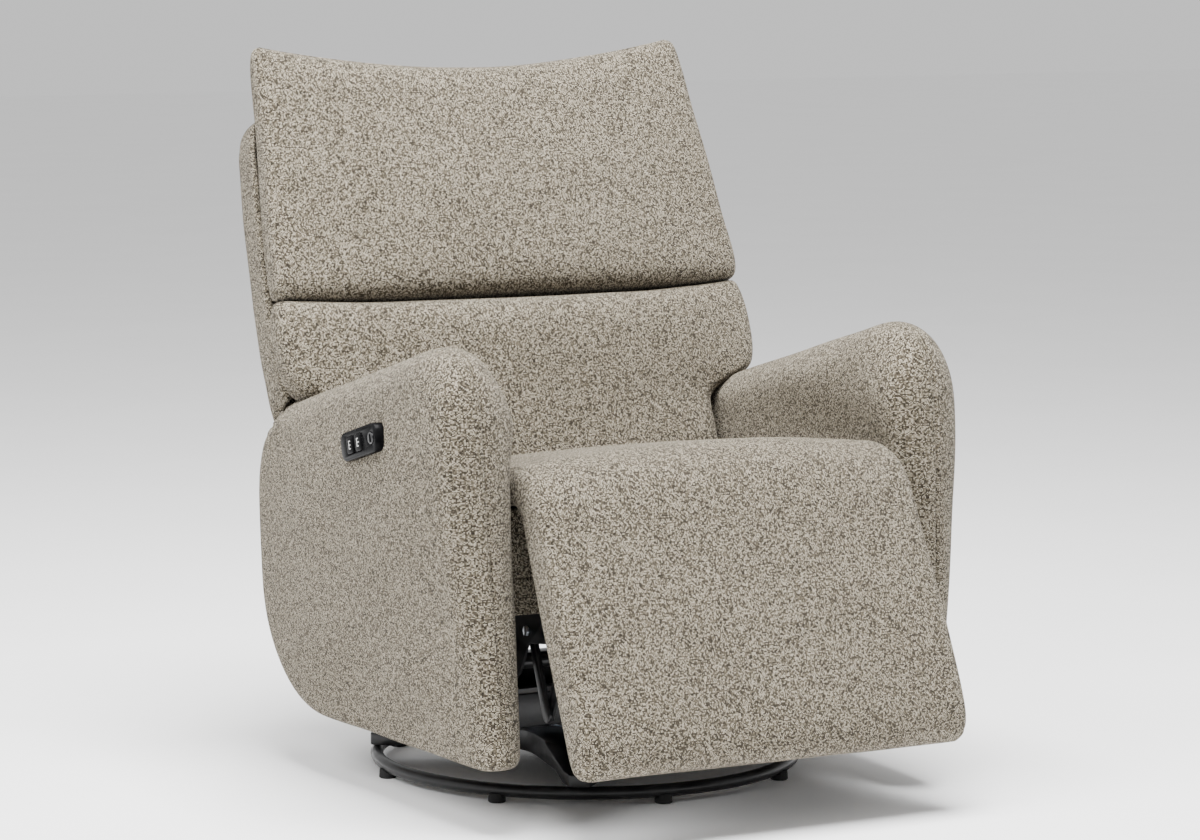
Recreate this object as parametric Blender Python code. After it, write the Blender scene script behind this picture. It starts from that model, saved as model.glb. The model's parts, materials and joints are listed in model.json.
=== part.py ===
"""Swivel, glide and recline nursery chair with a power footrest.

Metres, +Z up. The chair faces -Y and +X is the sitter's left. Every shape is drawn in a frame whose
origin is on the floor under the swivel axis, and one empty then sets that frame down so that the whole
chair is centred on the world origin.
"""
from math import atan2, cos, hypot, pi, radians, sin, sqrt, tan

import bmesh
import bpy
from mathutils import Vector
from mathutils.geometry import delaunay_2d_cdt

# ---- fits ----
GAP = 0.0003             # between pieces that touch
PIN_FIT = 0.0004         # radial, pivot pin in its hole
SOFT_FIT = 0.0015        # between pads that touch
PAD_FIT = 0.006          # each side, seat pad between the arms
HIP_FIT = 0.009          # each side, back between the arms
BOX_FIT = 0.012          # each side, seat box between the arms
ARM_FIT = 0.005          # each side, arms from the cut made for them in the back
ARM_X = 0.3525           # mid plane of an arm
ARM_HALF = 0.0565        # half an arm's thickness

# ---- floor ring and cross ----
SWIVEL_Y = 0.0775        # swivel axis behind the centre of the chair's footprint
RING_R = 0.300
RING_TUBE_R = 0.0092
RING_RISE = 0.0082       # floor to the underside of the ring
FOOT_R = 0.0125
FOOT_GRIP = 0.0050       # how far a foot's cup climbs the ring
FOOT_COUNT = 8
SPOKE_COUNT = 4
SPOKE_W = 0.028          # at the ring
SPOKE_H = 0.017
BASE_TURN = radians(29.8)
PAN_VALLEY_R = 0.118     # hollow of the cross between two spokes
PAN_ARCH_R = 0.100
PAN_H = 0.030
SHEET_T = 0.004
PAN_BOTTOM_Z = 0.037

# ---- swivel bearing and glider frame ----
RACE_R = 0.085
RACE_BORE_R = 0.050
RACE_H = 0.020
TURNTABLE_X = 0.115      # half width of the turning plate
TURNTABLE_Y = 0.158
TURNTABLE_H = 0.006
BEAM_W = 0.034
BEAM_H = 0.048
PLATE_T = 0.004          # every mechanism plate and link
LINK_W = 0.024
PIN_R = 0.004
GLIDE_PIVOT_Y = 0.140    # hanging links, before and behind the swivel axis
GLIDE_TOP_Z = 0.238
GLIDE_LINK_L = 0.100

# ---- seat frame ----
RAIL_X = 0.225           # inner face of the seat's side rails
RAIL_Z = 0.263           # mid height of the rail's bar
RAIL_H = 0.038
TUBE_R = 0.011
TUBE_Y = 0.215           # cross tubes, before and behind the swivel axis
TUBE_Z = 0.200
BOX_X = ARM_X - ARM_HALF - BOX_FIT            # half width of the seat box
BOX_FRONT_Y = -0.305
BOX_REAR_Y = 0.148
BOARD_T = 0.022
DECK_T = 0.008
APRON_T = 0.012

# ---- knee hinge, seat pad and footrest ----
KNEE_Y = -0.335
KNEE_Z = 0.405
SEAT_FALL = radians(8.4)         # the seat drops to the rear
PAD_BACK = 0.028                 # pad's underside above the knee axis
SEAT_TOP = 0.084                 # pad's upper face above the knee line, at its edges
SEAT_CROWN = 0.0155
SEAT_REAR_Y = 0.035
PAD_X = ARM_X - ARM_HALF - PAD_FIT            # half width of the seat pad
FOOT_SLOPE = radians(26.0)       # footrest from the vertical
FOOT_TOP = 0.092
FOOT_CROWN = 0.010
FOOT_L = 0.366                   # knee axis to the footrest's lower edge
FOOT_END_X = 0.297               # half width at the lower edge
FOOT_BOARD_T = 0.0127
FOOT_BOARD_X = 0.262
CRANK_L = 0.118                  # knee axis to the footrest's lower pivot
CRANK_IN = -0.008
STAY_Y = 0.075                   # rail's lower pivot from the knee axis
STAY_Z = -0.155

# ---- arms ----
ARM_BULGE = 0.015
ARM_FRONT_Y = -0.406
ARM_REAR_Y = 0.267
ARM_BOTTOM_Z = 0.088
ARM_LEVEL = 0.575                # height of the arm's top line over the swivel axis
ARM_RISE = 0.27                  # forward rise of the top line
ARM_RAKE = 0.073                 # backward lean of the front edge
ARM_TUCK = 0.12                  # inward lean of the outer side, lower front
ARM_TUCK_Z = 0.48                # height where that lean starts
ARM_NOSE_R = 0.097
ARM_HEEL_R = 0.180
ARM_SHOULDER_R = 0.124
ARM_SOLE_R = 0.018               # edge along the arm's underside

# ---- back ----
BACK_Y = 0.120                   # foot of the back's front plane
BACK_Z = 0.440
BACK_LEAN = radians(21.0)
SHELL_REAR = -0.118
SHELL_FRONT = -0.047
SHELL_WALL = 0.012
SHELL_ROOM = 0.008       # shell from the arms' rounded rear corners
SHELL_TOP = 0.532
SHELL_BOTTOM = -0.045
FRAME_X = RAIL_X + 0.045         # half width of the back's wooden ring
FRAME_BAR = 0.055
FRAME_T = 0.018
FRAME_TOP = 0.490
HIP_X = ARM_X - ARM_HALF - HIP_FIT            # half width of the back between the arms
TUCK_S = 0.250                   # fold between the lower and the head pad
TUCK_GAP = 0.0046
TUCK_X = 0.378
WAIST_X = 0.387
HEAD_TOP = 0.633
HEAD_TOP_X = 0.351
HEAD_DIP = 0.030
PAD_REAR = -0.045
RECLINE_Y = 0.185
RECLINE_Z = 0.345
HEAD_PIVOT_T = -0.015
HEAD_ROD_R = 0.0025
HEAD_BOARD_T = 0.0145
HEAD_BOARD_X = 0.300

# ---- switch on the right arm ----
SWITCH_Y = -0.147
SWITCH_Z = 0.507
SWITCH_L = 0.116
SWITCH_W = 0.040
SWITCH_DEEP = 0.020
SWITCH_PROUD = 0.004
BUTTON_L = 0.019
BUTTON_W = 0.024
BUTTON_PROUD = 0.0025
BUTTON_STEP = 0.026
PORT_R = 0.0085

# ---- actuator ----
MOTOR_W = 0.090
MOTOR_H = 0.062
MOTOR_Y = 0.040                  # front face of the motor housing
NUT_Y = -0.060
SPINDLE_R = 0.009
NUT_L = 0.040

FABRIC = ("taupe_fabric", (0.400, 0.350, 0.280), 0.92, 0.0)
STEEL = ("black_steel", (0.012, 0.012, 0.014), 0.32, 0.35)
BLACK_PLASTIC = ("black_plastic", (0.015, 0.015, 0.016), 0.35, 0.0)
RUBBER = ("foot_rubber", (0.010, 0.010, 0.010), 0.80, 0.0)
WOOD = ("frame_wood", (0.480, 0.330, 0.190), 0.70, 0.0)
ZINC = ("zinc_steel", (0.560, 0.570, 0.590), 0.30, 0.90)
DECK_CLOTH = ("deck_cloth", (0.030, 0.030, 0.032), 0.90, 0.0)

for old in list(bpy.data.objects):
    bpy.data.objects.remove(old, do_unlink=True)

ROOT = bpy.data.objects.new("swivel_axis_on_floor", None)
ROOT.location = (0.0, SWIVEL_Y, 0.0)
bpy.context.scene.collection.objects.link(ROOT)
PIVOTS = {}
MATERIALS = {}


def pivot(name, point):
    """An empty on a joint's axis; the pieces that turn or slide there hang from it."""
    empty = bpy.data.objects.new("axis_" + name, None)
    empty.parent = ROOT
    empty.location = point
    bpy.context.scene.collection.objects.link(empty)
    PIVOTS[name] = (empty, Vector(point))


def material(spec):
    name, colour, roughness, metallic = spec
    if name not in MATERIALS:
        mat = bpy.data.materials.new(name)
        mat.use_nodes = True
        shader = mat.node_tree.nodes["Principled BSDF"]
        shader.inputs["Base Color"].default_value = (*colour, 1.0)
        shader.inputs["Roughness"].default_value = roughness
        shader.inputs["Metallic"].default_value = metallic
        mat.diffuse_color = (*colour, 1.0)
        MATERIALS[name] = mat
    return MATERIALS[name]


def body(name, verts, faces, spec, at="seat"):
    """One closed piece, drawn in the chair's frame and hung from its joint's empty."""
    empty, origin = PIVOTS[at]
    mesh = bpy.data.meshes.new(name)
    bm = bmesh.new()
    made = [bm.verts.new(Vector(v) - origin) for v in verts]
    for face in faces:
        bm.faces.new([made[i] for i in face])
    bmesh.ops.remove_doubles(bm, verts=bm.verts, dist=1e-6)
    bmesh.ops.recalc_face_normals(bm, faces=bm.faces)
    bm.to_mesh(mesh)
    bm.free()
    obj = bpy.data.objects.new(name, mesh)
    obj.parent = empty
    mesh.materials.append(material(spec))
    bpy.context.scene.collection.objects.link(obj)
    return obj


def cut(obj, cutter, how="DIFFERENCE"):
    """Boolean by a hidden helper piece."""
    cutter.hide_render = True
    cutter.display_type = "WIRE"
    mod = obj.modifiers.new(how.title() + "_" + cutter.name, "BOOLEAN")
    mod.operation = how
    mod.object = cutter


def soften(obj, width, segments=2, angle=40.0):
    mod = obj.modifiers.new("Bevel", "BEVEL")
    mod.width = width
    mod.segments = segments
    mod.limit_method = "ANGLE"
    mod.angle_limit = radians(angle)


def rounded(corners, steps=5):
    """A closed outline from corners (a, b, radius), each corner filleted by an arc."""
    out = []
    count = len(corners)
    for i, (a, b, r) in enumerate(corners):
        here = Vector((a, b))
        if r <= 0:
            out.append((a, b))
            continue
        back = (Vector(corners[i - 1][:2]) - here).normalized()
        ahead = (Vector(corners[(i + 1) % count][:2]) - here).normalized()
        half = back.angle(ahead) / 2
        centre = here + (back + ahead).normalized() * (r / sin(half))
        first = here + back * (r / tan(half)) - centre
        last = here + ahead * (r / tan(half)) - centre
        turn = atan2(first.x * last.y - first.y * last.x, first.dot(last))
        start = atan2(first.y, first.x)
        for k in range(steps + 1):
            angle = start + turn * k / steps
            out.append((centre.x + r * cos(angle), centre.y + r * sin(angle)))
    return out


def circle(a, b, r, count=16):
    return [(a + r * cos(2 * pi * k / count), b + r * sin(2 * pi * k / count)) for k in range(count)]


def plate(name, outline, x_from, x_to, spec, at="seat", holes=(), pins=(), pin_to=0.0):
    """A flat piece in the YZ plane between two X values, with round holes and with pins up to pin_to."""
    loops = [outline] + [circle(*h) for h in holes] + [circle(*p) for p in pins]
    points = []
    edges = []
    for loop in loops:
        first = len(points)
        points.extend(Vector(p) for p in loop)
        edges.extend((first + k, first + (k + 1) % len(loop)) for k in range(len(loop)))
    flat = delaunay_2d_cdt(points, edges, [], 1, 1e-7)
    tris = flat[2]
    spots = [tuple(p) for p in flat[0]]
    origin_of = {source: k for k, sources in enumerate(flat[3]) for source in sources}

    def inside(tri, rounds):
        mid = [sum(spots[i][axis] for i in tri) / len(tri) for axis in (0, 1)]
        return any(hypot(mid[0] - a, mid[1] - b) < r for a, b, r in rounds)

    verts = []
    faces = []
    index = {}

    def vert(i, x):
        if (i, x) not in index:
            index[(i, x)] = len(verts)
            verts.append((x, *spots[i]))
        return index[(i, x)]

    for tri in tris:
        if inside(tri, holes):
            continue
        near = pin_to if inside(tri, pins) else x_from
        faces.append([vert(i, near) for i in tri])
        faces.append([vert(i, x_to) for i in reversed(tri)])
    first = 0
    for number, loop in enumerate(loops):
        walls = (x_from, pin_to) if number > len(holes) else (x_from, x_to)
        for k in range(len(loop)):
            i = origin_of[first + k]
            j = origin_of[first + (k + 1) % len(loop)]
            faces.append([vert(i, walls[0]), vert(j, walls[0]), vert(j, walls[1]), vert(i, walls[1])])
        first += len(loop)
    return body(name, verts, faces, spec, at)


def loft(name, rings, spec, at="seat", closed=False):
    """A skin over rings of equal length, capped at both ends or joined into a loop."""
    count = len(rings[0])
    verts = [v for ring in rings for v in ring]
    faces = []
    last = len(rings) if closed else len(rings) - 1
    for r in range(last):
        a = r * count
        b = (r + 1) % len(rings) * count
        for k in range(count):
            n = (k + 1) % count
            faces.append([a + k, a + n, b + n, b + k])
    if not closed:
        faces.append(list(range(count)))
        faces.append([(len(rings) - 1) * count + k for k in range(count)])
    return body(name, verts, faces, spec, at)


def block(name, low, high, spec, at="seat"):
    """An upright box between two corners."""
    ring = [(low[0], low[1]), (high[0], low[1]), (high[0], high[1]), (low[0], high[1])]
    return loft(name, [[(x, y, z) for x, y in ring] for z in (low[2], high[2])], spec, at)


def rod(name, start, end, radius, spec, at="seat", count=20):
    """A round bar between two points."""
    start = Vector(start)
    turn = (Vector(end) - start).to_track_quat("Z", "Y").to_matrix()
    angles = [2 * pi * k / count for k in range(count)]
    around = [Vector((radius * cos(angle), radius * sin(angle), 0)) for angle in angles]
    return loft(name, [[tuple(turn @ p + q) for p in around] for q in (start, Vector(end))], spec, at)


# ------------------------------------------------------------------ floor ring, cross and feet
def spoke_angle(k):
    return -pi / 2 - BASE_TURN + 2 * pi * k / SPOKE_COUNT


def base_ring():
    major, minor = 64, 10
    height = RING_RISE + RING_TUBE_R
    rings = []
    for i in range(major):
        a = 2 * pi * i / major
        ring = []
        for j in range(minor):
            b = 2 * pi * j / minor
            out = RING_R + RING_TUBE_R * cos(b)
            ring.append((out * cos(a), out * sin(a), height + RING_TUBE_R * sin(b)))
        rings.append(ring)
    loft("base_ring", rings, STEEL, "base", closed=True)


def cross_solid(name, wall):
    """The cross as a solid; with a wall it is the hollow that a sheet of that thickness leaves below."""
    ring_top = RING_RISE + 2 * RING_TUBE_R + GAP
    pan_top = PAN_BOTTOM_Z + PAN_H - wall
    spoke_top = ring_top + SPOKE_H - wall
    tip = RING_R + RING_TUBE_R - wall
    half = SPOKE_W / 2 - wall
    corners = []
    for k in range(SPOKE_COUNT):
        a = spoke_angle(k)
        along = Vector((cos(a), sin(a)))
        side = Vector((-sin(a), cos(a)))
        for w in (-half, half):
            corners.append((*(along * tip + side * w), 0.005 - wall * 0.5))
        middle = a + pi / SPOKE_COUNT
        valley = PAN_VALLEY_R - wall * 1.4
        corners.append((valley * cos(middle), valley * sin(middle), PAN_ARCH_R + wall))
    outline = rounded(corners, 7)
    foot = ring_top - (0.01 if wall else 0)
    cross = loft(name, [[(x, y, z) for x, y in outline] for z in (foot, pan_top)], STEEL, "base")
    profile = ((RING_R - 0.02, spoke_top), (RING_R - 0.10, pan_top - 0.004), (RING_R - 0.13, pan_top + 0.01),
               (RING_R + 0.04, pan_top + 0.01), (RING_R + 0.04, spoke_top))
    ring = [[(r * cos(2 * pi * k / 48), r * sin(2 * pi * k / 48), z) for r, z in profile] for k in range(48)]
    cut(cross, loft("guide_over_" + name, ring, STEEL, "base", closed=True))
    return cross


def base_cross():
    """Stamped four-pointed pan: wide in the middle, its spokes drawn down on to the ring, hollow below."""
    ring_top = RING_RISE + 2 * RING_TUBE_R + GAP
    cross = cross_solid("base_cross", 0.0)
    under = ((RING_R - 0.022, ring_top - 0.02), (RING_R - 0.022, ring_top), (RING_R - 0.06, PAN_BOTTOM_Z))
    rings = [[(x, y, z) for x, y in circle(0, 0, r, 48)] for r, z in under]
    cut(cross, loft("guide_cross_under", rings, STEEL, "base"))
    cut(cross, cross_solid("guide_cross_hollow", SHEET_T))


def base_feet():
    """Low cups that hold the ring off the floor."""
    for k in range(FOOT_COUNT):
        a = spoke_angle(0) + (k + 0.5) * 2 * pi / FOOT_COUNT
        x, y = RING_R * cos(a), RING_R * sin(a)
        flare = ((0.0, FOOT_R * 0.88), (0.0015, FOOT_R), (RING_RISE + FOOT_GRIP, FOOT_R * 0.92))
        rings = [[(px, py, z) for px, py in circle(x, y, r, 20)] for z, r in flare]
        foot = loft(f"foot_{k + 1}", rings, RUBBER, "base")
        height = RING_RISE + RING_TUBE_R
        tangent = Vector((-sin(a), cos(a), 0)) * FOOT_R * 2
        mid = Vector((x, y, height))
        slot = rod(f"guide_foot_{k + 1}", mid - tangent, mid + tangent, RING_TUBE_R + 2 * GAP, RUBBER, "base",
                   24)
        cut(foot, slot)


PAN_TOP = PAN_BOTTOM_Z + PAN_H
RACE_TOP = PAN_TOP + GAP + RACE_H
TURNTABLE_TOP = RACE_TOP + GAP + TURNTABLE_H
BEAM_TOP = TURNTABLE_TOP + GAP + BEAM_H
LINK_X = RAIL_X - GAP - PLATE_T          # inner face of the links beside the rails
STAY_X = LINK_X - GAP - PLATE_T          # inner face of the plates beyond the links
GLIDE_LOW_Z = GLIDE_TOP_Z - GLIDE_LINK_L


def swivel_bearing():
    low = PAN_TOP + GAP
    section = ((RACE_BORE_R, low), (RACE_R, low), (RACE_R, RACE_TOP), (RACE_BORE_R, RACE_TOP))
    rings = [[(r * cos(2 * pi * k / 40), r * sin(2 * pi * k / 40), z) for r, z in section] for k in range(40)]
    loft("bearing_lower", rings, ZINC, "base", closed=True)
    corners = ((-TURNTABLE_X, -TURNTABLE_Y, 0.02), (TURNTABLE_X, -TURNTABLE_Y, 0.02),
               (TURNTABLE_X, TURNTABLE_Y, 0.02), (-TURNTABLE_X, TURNTABLE_Y, 0.02))
    outline = rounded(corners, 4)
    heights = (RACE_TOP + GAP, TURNTABLE_TOP)
    loft("bearing_upper", [[(x, y, z) for x, y in outline] for z in heights], STEEL, "turntable")


def glider_frame():
    """Two cross beams on the turning plate and the side plates that carry the hanging links."""
    reach = STAY_X - GAP
    for name, y in (("front", -GLIDE_PIVOT_Y), ("rear", GLIDE_PIVOT_Y)):
        low = (-reach, y - BEAM_W / 2, TURNTABLE_TOP + GAP)
        beam = block(f"glider_beam_{name}", low, (reach, y + BEAM_W / 2, BEAM_TOP), STEEL, "turntable")
        inner = (-reach - 0.01, y - BEAM_W / 2 + SHEET_T, TURNTABLE_TOP)
        outer = (reach + 0.01, y + BEAM_W / 2 - SHEET_T, BEAM_TOP - SHEET_T)
        room = block(f"guide_beam_{name}", inner, outer, STEEL, "turntable")
        cut(beam, room)
        soften(beam, 0.0015, 1)
    foot = GLIDE_PIVOT_Y + BEAM_W
    low, high = TURNTABLE_TOP + GAP, TURNTABLE_TOP + BEAM_W * 0.8
    top = GLIDE_TOP_Z + LINK_W * 0.6
    post = LINK_W * 0.6
    outline = rounded((
        (-foot, low, 0.006), (foot, low, 0.006), (foot, high, 0.01), (GLIDE_PIVOT_Y + post, top, post * 0.9),
        (GLIDE_PIVOT_Y - post, top, post * 0.9), (GLIDE_PIVOT_Y - BEAM_W, high, 0.02),
        (-GLIDE_PIVOT_Y + BEAM_W, high, 0.02), (-GLIDE_PIVOT_Y + post, top, post * 0.9),
        (-GLIDE_PIVOT_Y - post, top, post * 0.9), (-foot, high, 0.01)), 4)
    pins = [(y, GLIDE_TOP_Z, PIN_R) for y in (-GLIDE_PIVOT_Y, GLIDE_PIVOT_Y)]
    for side, sign in (("left", 1), ("right", -1)):
        plate(f"glider_side_{side}", outline, sign * (STAY_X + PLATE_T), sign * STAY_X, STEEL,
              "turntable", pins=pins, pin_to=sign * (LINK_X + PLATE_T - GAP))


def bar_outline(start, end, width):
    """A bar with round ends over two pivots."""
    start, end = Vector(start), Vector(end)
    along = (end - start).normalized()
    turn = atan2(along.y, along.x)
    out = []
    for centre, first in ((end, -pi / 2), (start, pi / 2)):
        for k in range(9):
            angle = turn + first + pi * k / 8
            out.append((centre.x + width / 2 * cos(angle), centre.y + width / 2 * sin(angle)))
    return out


def swing_links():
    """Four hanging links of the glide."""
    hole = PIN_R + PIN_FIT
    for end, y in (("front", -GLIDE_PIVOT_Y), ("rear", GLIDE_PIVOT_Y)):
        for side, sign in (("left", 1), ("right", -1)):
            outline = bar_outline((y, GLIDE_TOP_Z), (y, GLIDE_LOW_Z), LINK_W)
            holes = [(y, GLIDE_TOP_Z, hole), (y, GLIDE_LOW_Z, hole)]
            plate(f"swing_link_{end}_{side}", outline, sign * LINK_X, sign * (LINK_X + PLATE_T), STEEL,
                  f"swing_{end}_{side}", holes=holes)


# ------------------------------------------------------------------ seat frame
STAY = (KNEE_Y + STAY_Y, KNEE_Z + STAY_Z)


def seat_rails():
    """Side plates: knee ear, footrest stay, glide hangers and recline ear in one stamping."""
    high, low = RAIL_Z + RAIL_H / 2, RAIL_Z - RAIL_H / 2
    ear = 0.0135
    hang = LINK_W * 0.6
    foot = GLIDE_LOW_Z - hang
    tube = TUBE_R + 0.010
    outline = rounded((
        (KNEE_Y + ear, KNEE_Z + ear, ear * 0.95), (KNEE_Y - ear, KNEE_Z + ear, ear * 0.95),
        (KNEE_Y - ear, low, 0.012), (STAY[0], low - 0.012, 0.012),
        (-TUBE_Y - tube, TUBE_Z - tube * 0.6, 0.012),
        (-GLIDE_PIVOT_Y - hang, foot, hang * 0.9), (-GLIDE_PIVOT_Y + hang, foot, hang * 0.9),
        (-GLIDE_PIVOT_Y + 0.075, low, 0.02), (GLIDE_PIVOT_Y - 0.075, low, 0.02),
        (GLIDE_PIVOT_Y - hang, foot, hang * 0.9), (GLIDE_PIVOT_Y + hang, foot, hang * 0.9),
        (TUBE_Y + tube, TUBE_Z - tube * 0.6, 0.012), (RECLINE_Y + 0.032, low, 0.012),
        (RECLINE_Y + ear, RECLINE_Z + ear, ear * 0.95), (RECLINE_Y - ear, RECLINE_Z + ear, ear * 0.95),
        (RECLINE_Y - ear - 0.004, high, 0.006), (KNEE_Y + ear, high, 0.006)), 4)
    pins = [(KNEE_Y, KNEE_Z, PIN_R), (*STAY, PIN_R), (RECLINE_Y, RECLINE_Z, PIN_R),
            (-GLIDE_PIVOT_Y, GLIDE_LOW_Z, PIN_R), (GLIDE_PIVOT_Y, GLIDE_LOW_Z, PIN_R)]
    for side, sign in (("left", 1), ("right", -1)):
        plate(f"seat_rail_{side}", outline, sign * RAIL_X, sign * (RAIL_X + PLATE_T), STEEL, "seat",
              pins=pins, pin_to=sign * (LINK_X + GAP))


def cross_tubes():
    reach = RAIL_X - GAP
    for name, y in (("front", -TUBE_Y), ("rear", TUBE_Y)):
        rod(f"cross_tube_{name}", (-reach, y, TUBE_Z), (reach, y, TUBE_Z), TUBE_R, STEEL)


def knee_line(y):
    """Height of the sloping line through the knee axis that the seat follows."""
    return KNEE_Z - tan(SEAT_FALL) * (y - KNEE_Y)


def seat_box():
    """Four-sided wooden box under the seat pad, open above and below."""
    lift = (PAD_BACK - GAP - DECK_T - GAP) / cos(SEAT_FALL)
    low = RAIL_Z + RAIL_H / 2 + GAP

    def prism(name, front, rear, half, under, over):
        ring = [(front, low - under), (rear, low - under), (rear, knee_line(rear) + lift + over),
                (front, knee_line(front) + lift + over)]
        return loft(name, [[(x, y, z) for y, z in ring] for x in (-half, half)], WOOD)

    box = prism("seat_box", BOX_FRONT_Y, BOX_REAR_Y, BOX_X, 0, 0)
    hollow = prism("guide_seat_box", BOX_FRONT_Y + BOARD_T, BOX_REAR_Y - BOARD_T, BOX_X - BOARD_T, 0.02, 0.02)
    cut(box, hollow)
    lift += GAP
    ring = [(BOX_FRONT_Y, knee_line(BOX_FRONT_Y) + lift),
            (BOX_REAR_Y - GAP, knee_line(BOX_REAR_Y - GAP) + lift)]
    thick = DECK_T / cos(SEAT_FALL)
    deck = [ring[0], ring[1], (ring[1][0], ring[1][1] + thick), (ring[0][0], ring[0][1] + thick)]
    half = BOX_X - GAP
    loft("seat_deck", [[(x, y, z) for y, z in deck] for x in (-half, half)], DECK_CLOTH)
    front = BOX_FRONT_Y - GAP
    top = knee_line(BOX_FRONT_Y) + PAD_BACK - GAP - DECK_T
    reach = RAIL_X - 2 * GAP
    apron = block("seat_apron", (-reach, front - APRON_T, low), (reach, front, top), FABRIC)
    soften(apron, 0.004, 2)


def frame_of(origin, up, out):
    """A drawing frame in the side plane: s runs along up, t along out, x across."""
    def point(x, s, t):
        return (x, origin[0] + up[0] * s + out[0] * t, origin[1] + up[1] * s + out[1] * t)
    return point


def cushion_ring(place, s, half, back, front, crown, edge, heel, dip=0.0):
    """One section of a pad: flat back, round edges, crowned front. dip sags its middle along s."""
    depth = front - back
    edge = min(edge, depth * 0.6)
    heel = min(heel, depth * 0.35)
    flat = half - edge
    spots = [(-flat + 2 * flat * k / 8, front + crown * (1 - ((k - 4) / 4) ** 2)) for k in range(9)]
    for k in range(1, 4):
        a = pi / 2 * k / 4
        spots.append((flat + edge * sin(a), front - edge * (1 - cos(a))))
    for k in range(4):
        a = pi / 2 * k / 3
        spots.append((half - heel * (1 - cos(a)), back + heel * (1 - sin(a))))
    for k in range(1, 4):
        spots.append(((half - heel) * (1 - k / 2), back))
    spots.pop()
    for k in range(4):
        a = pi / 2 * (3 - k) / 3
        spots.append((-half + heel * (1 - cos(a)), back + heel * (1 - sin(a))))
    for k in range(3, 0, -1):
        a = pi / 2 * k / 4
        spots.append((-flat - edge * sin(a), front - edge * (1 - cos(a))))
    return [place(x, s - dip * (1 - (x / half) ** 2), t) for x, t in spots]


def chaise_pads():
    """Seat pad, the fold over the knee and the footrest pad: one run of upholstery in three pieces."""
    lean = (sin(BACK_LEAN), cos(BACK_LEAN))
    rings = []
    steps = 8
    for k in range(steps + 1):
        share = k / steps
        y = KNEE_Y + (SEAT_REAR_Y - KNEE_Y) * share
        tilt = atan2(lean[0], lean[1]) * max(0.0, share - 0.25) / 0.75
        place = frame_of((y, knee_line(y)), (0, 0), (sin(tilt), cos(tilt)))
        soft = 0.030 + 0.004 * share
        top = SEAT_TOP + 0.003 * share
        half = PAD_X - (PAD_X - HIP_X) * share
        under = PAD_BACK / cos(tilt - SEAT_FALL) + GAP
        rings.append(cushion_ring(place, 0, half, under, top, SEAT_CROWN, soft, 0.006))
    loft("seat_cushion", rings, FABRIC, "seat")

    rings = []
    steps = 5
    away = SOFT_FIT / PAD_BACK
    for k in range(steps + 1):
        share = k / steps
        angle = away + (pi / 2 - FOOT_SLOPE - 2 * away) * share
        place = frame_of((KNEE_Y, KNEE_Z), (0, 0), (-sin(angle), cos(angle)))
        top = SEAT_TOP + (FOOT_TOP - SEAT_TOP) * share
        crown = SEAT_CROWN + (FOOT_CROWN - SEAT_CROWN) * share
        rings.append(cushion_ring(place, 0, PAD_X, PAD_BACK, top, crown, 0.030 - 0.004 * share, 0.006))
    loft("knee_fold", rings, FABRIC, "seat")

    place = frame_of((KNEE_Y, KNEE_Z), FOOT_DOWN, FOOT_OUT)
    rings = []
    # share of the length, drawn-in edge, front set back, back set in
    for share, narrow, front_in, back_in in ((0, 0, 0, 0), (0.25, 0, 0, 0), (0.5, 0, 0, 0),
                                             (0.75, 0, 0.002, 0),
                                             (0.90, 0, 0.006, 0), (0.95, 0.002, 0.012, 0.002),
                                             (0.985, 0.008, 0.024, 0.008), (1.0, 0.020, 0.040, 0.016)):
        half = PAD_X + (FOOT_END_X - PAD_X) * share - narrow
        crown = FOOT_CROWN * (1 - 0.5 * share)
        rings.append(cushion_ring(place, FOOT_L * share, half, PAD_BACK + back_in, FOOT_TOP - front_in, crown,
                                  0.024, 0.006))
    loft("footrest_pad", rings, FABRIC, "footrest")


FOOT_DOWN = (-sin(FOOT_SLOPE), -cos(FOOT_SLOPE))
FOOT_OUT = (-cos(FOOT_SLOPE), sin(FOOT_SLOPE))


def footrest_frame():
    """Board behind the footrest pad, its cranks and the stays that keep them parallel."""
    place = frame_of((KNEE_Y, KNEE_Z), FOOT_DOWN, FOOT_OUT)
    outer = PAD_BACK - GAP
    inner = outer - FOOT_BOARD_T
    ring = [(0.014, inner), (FOOT_L * 0.93, inner), (FOOT_L * 0.93, outer), (0.014, outer)]
    board = loft("footrest_board", [[place(x, s, t) for s, t in ring] for x in (-FOOT_BOARD_X, FOOT_BOARD_X)],
                 WOOD, "footrest")
    soften(board, 0.0015, 1)

    def side(s, t):
        return place(0, s, t)[1:]

    eye = 0.0125
    flange = inner - GAP
    corners = ((-eye, flange, 0.006), (CRANK_L + eye, flange, 0.004),
               (CRANK_L + eye, CRANK_IN - eye, eye * 0.9),
               (CRANK_L - eye, CRANK_IN - eye, eye * 0.9), (0.03, -0.006, 0.01), (eye, -eye, 0.006),
               (-eye, -eye, eye * 0.9))
    outline = rounded([(*side(s, t), r) for s, t, r in corners], 4)
    low = side(CRANK_L, CRANK_IN)
    corner = (low[0] + STAY_Y, low[1] + STAY_Z)
    hole = PIN_R + PIN_FIT
    for name, sign in (("left", 1), ("right", -1)):
        near, far = sign * LINK_X, sign * (LINK_X + PLATE_T)
        tip = sign * (STAY_X + GAP)
        plate(f"footrest_crank_{name}", outline, near, far, STEEL, "footrest",
              holes=[(KNEE_Y, KNEE_Z, hole)], pins=[(*low, PIN_R)], pin_to=tip)
        plate(f"footrest_stay_{name}", bar_outline(STAY, corner, LINK_W * 0.9), near, far, STEEL,
              f"stay_{name}", holes=[(*STAY, hole)], pins=[(*corner, PIN_R)], pin_to=tip)
        plate(f"footrest_tie_{name}", bar_outline(corner, low, LINK_W * 0.9), sign * STAY_X,
              sign * (STAY_X + PLATE_T), STEEL, f"tie_{name}", holes=[(*corner, hole), (*low, hole)])


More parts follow.
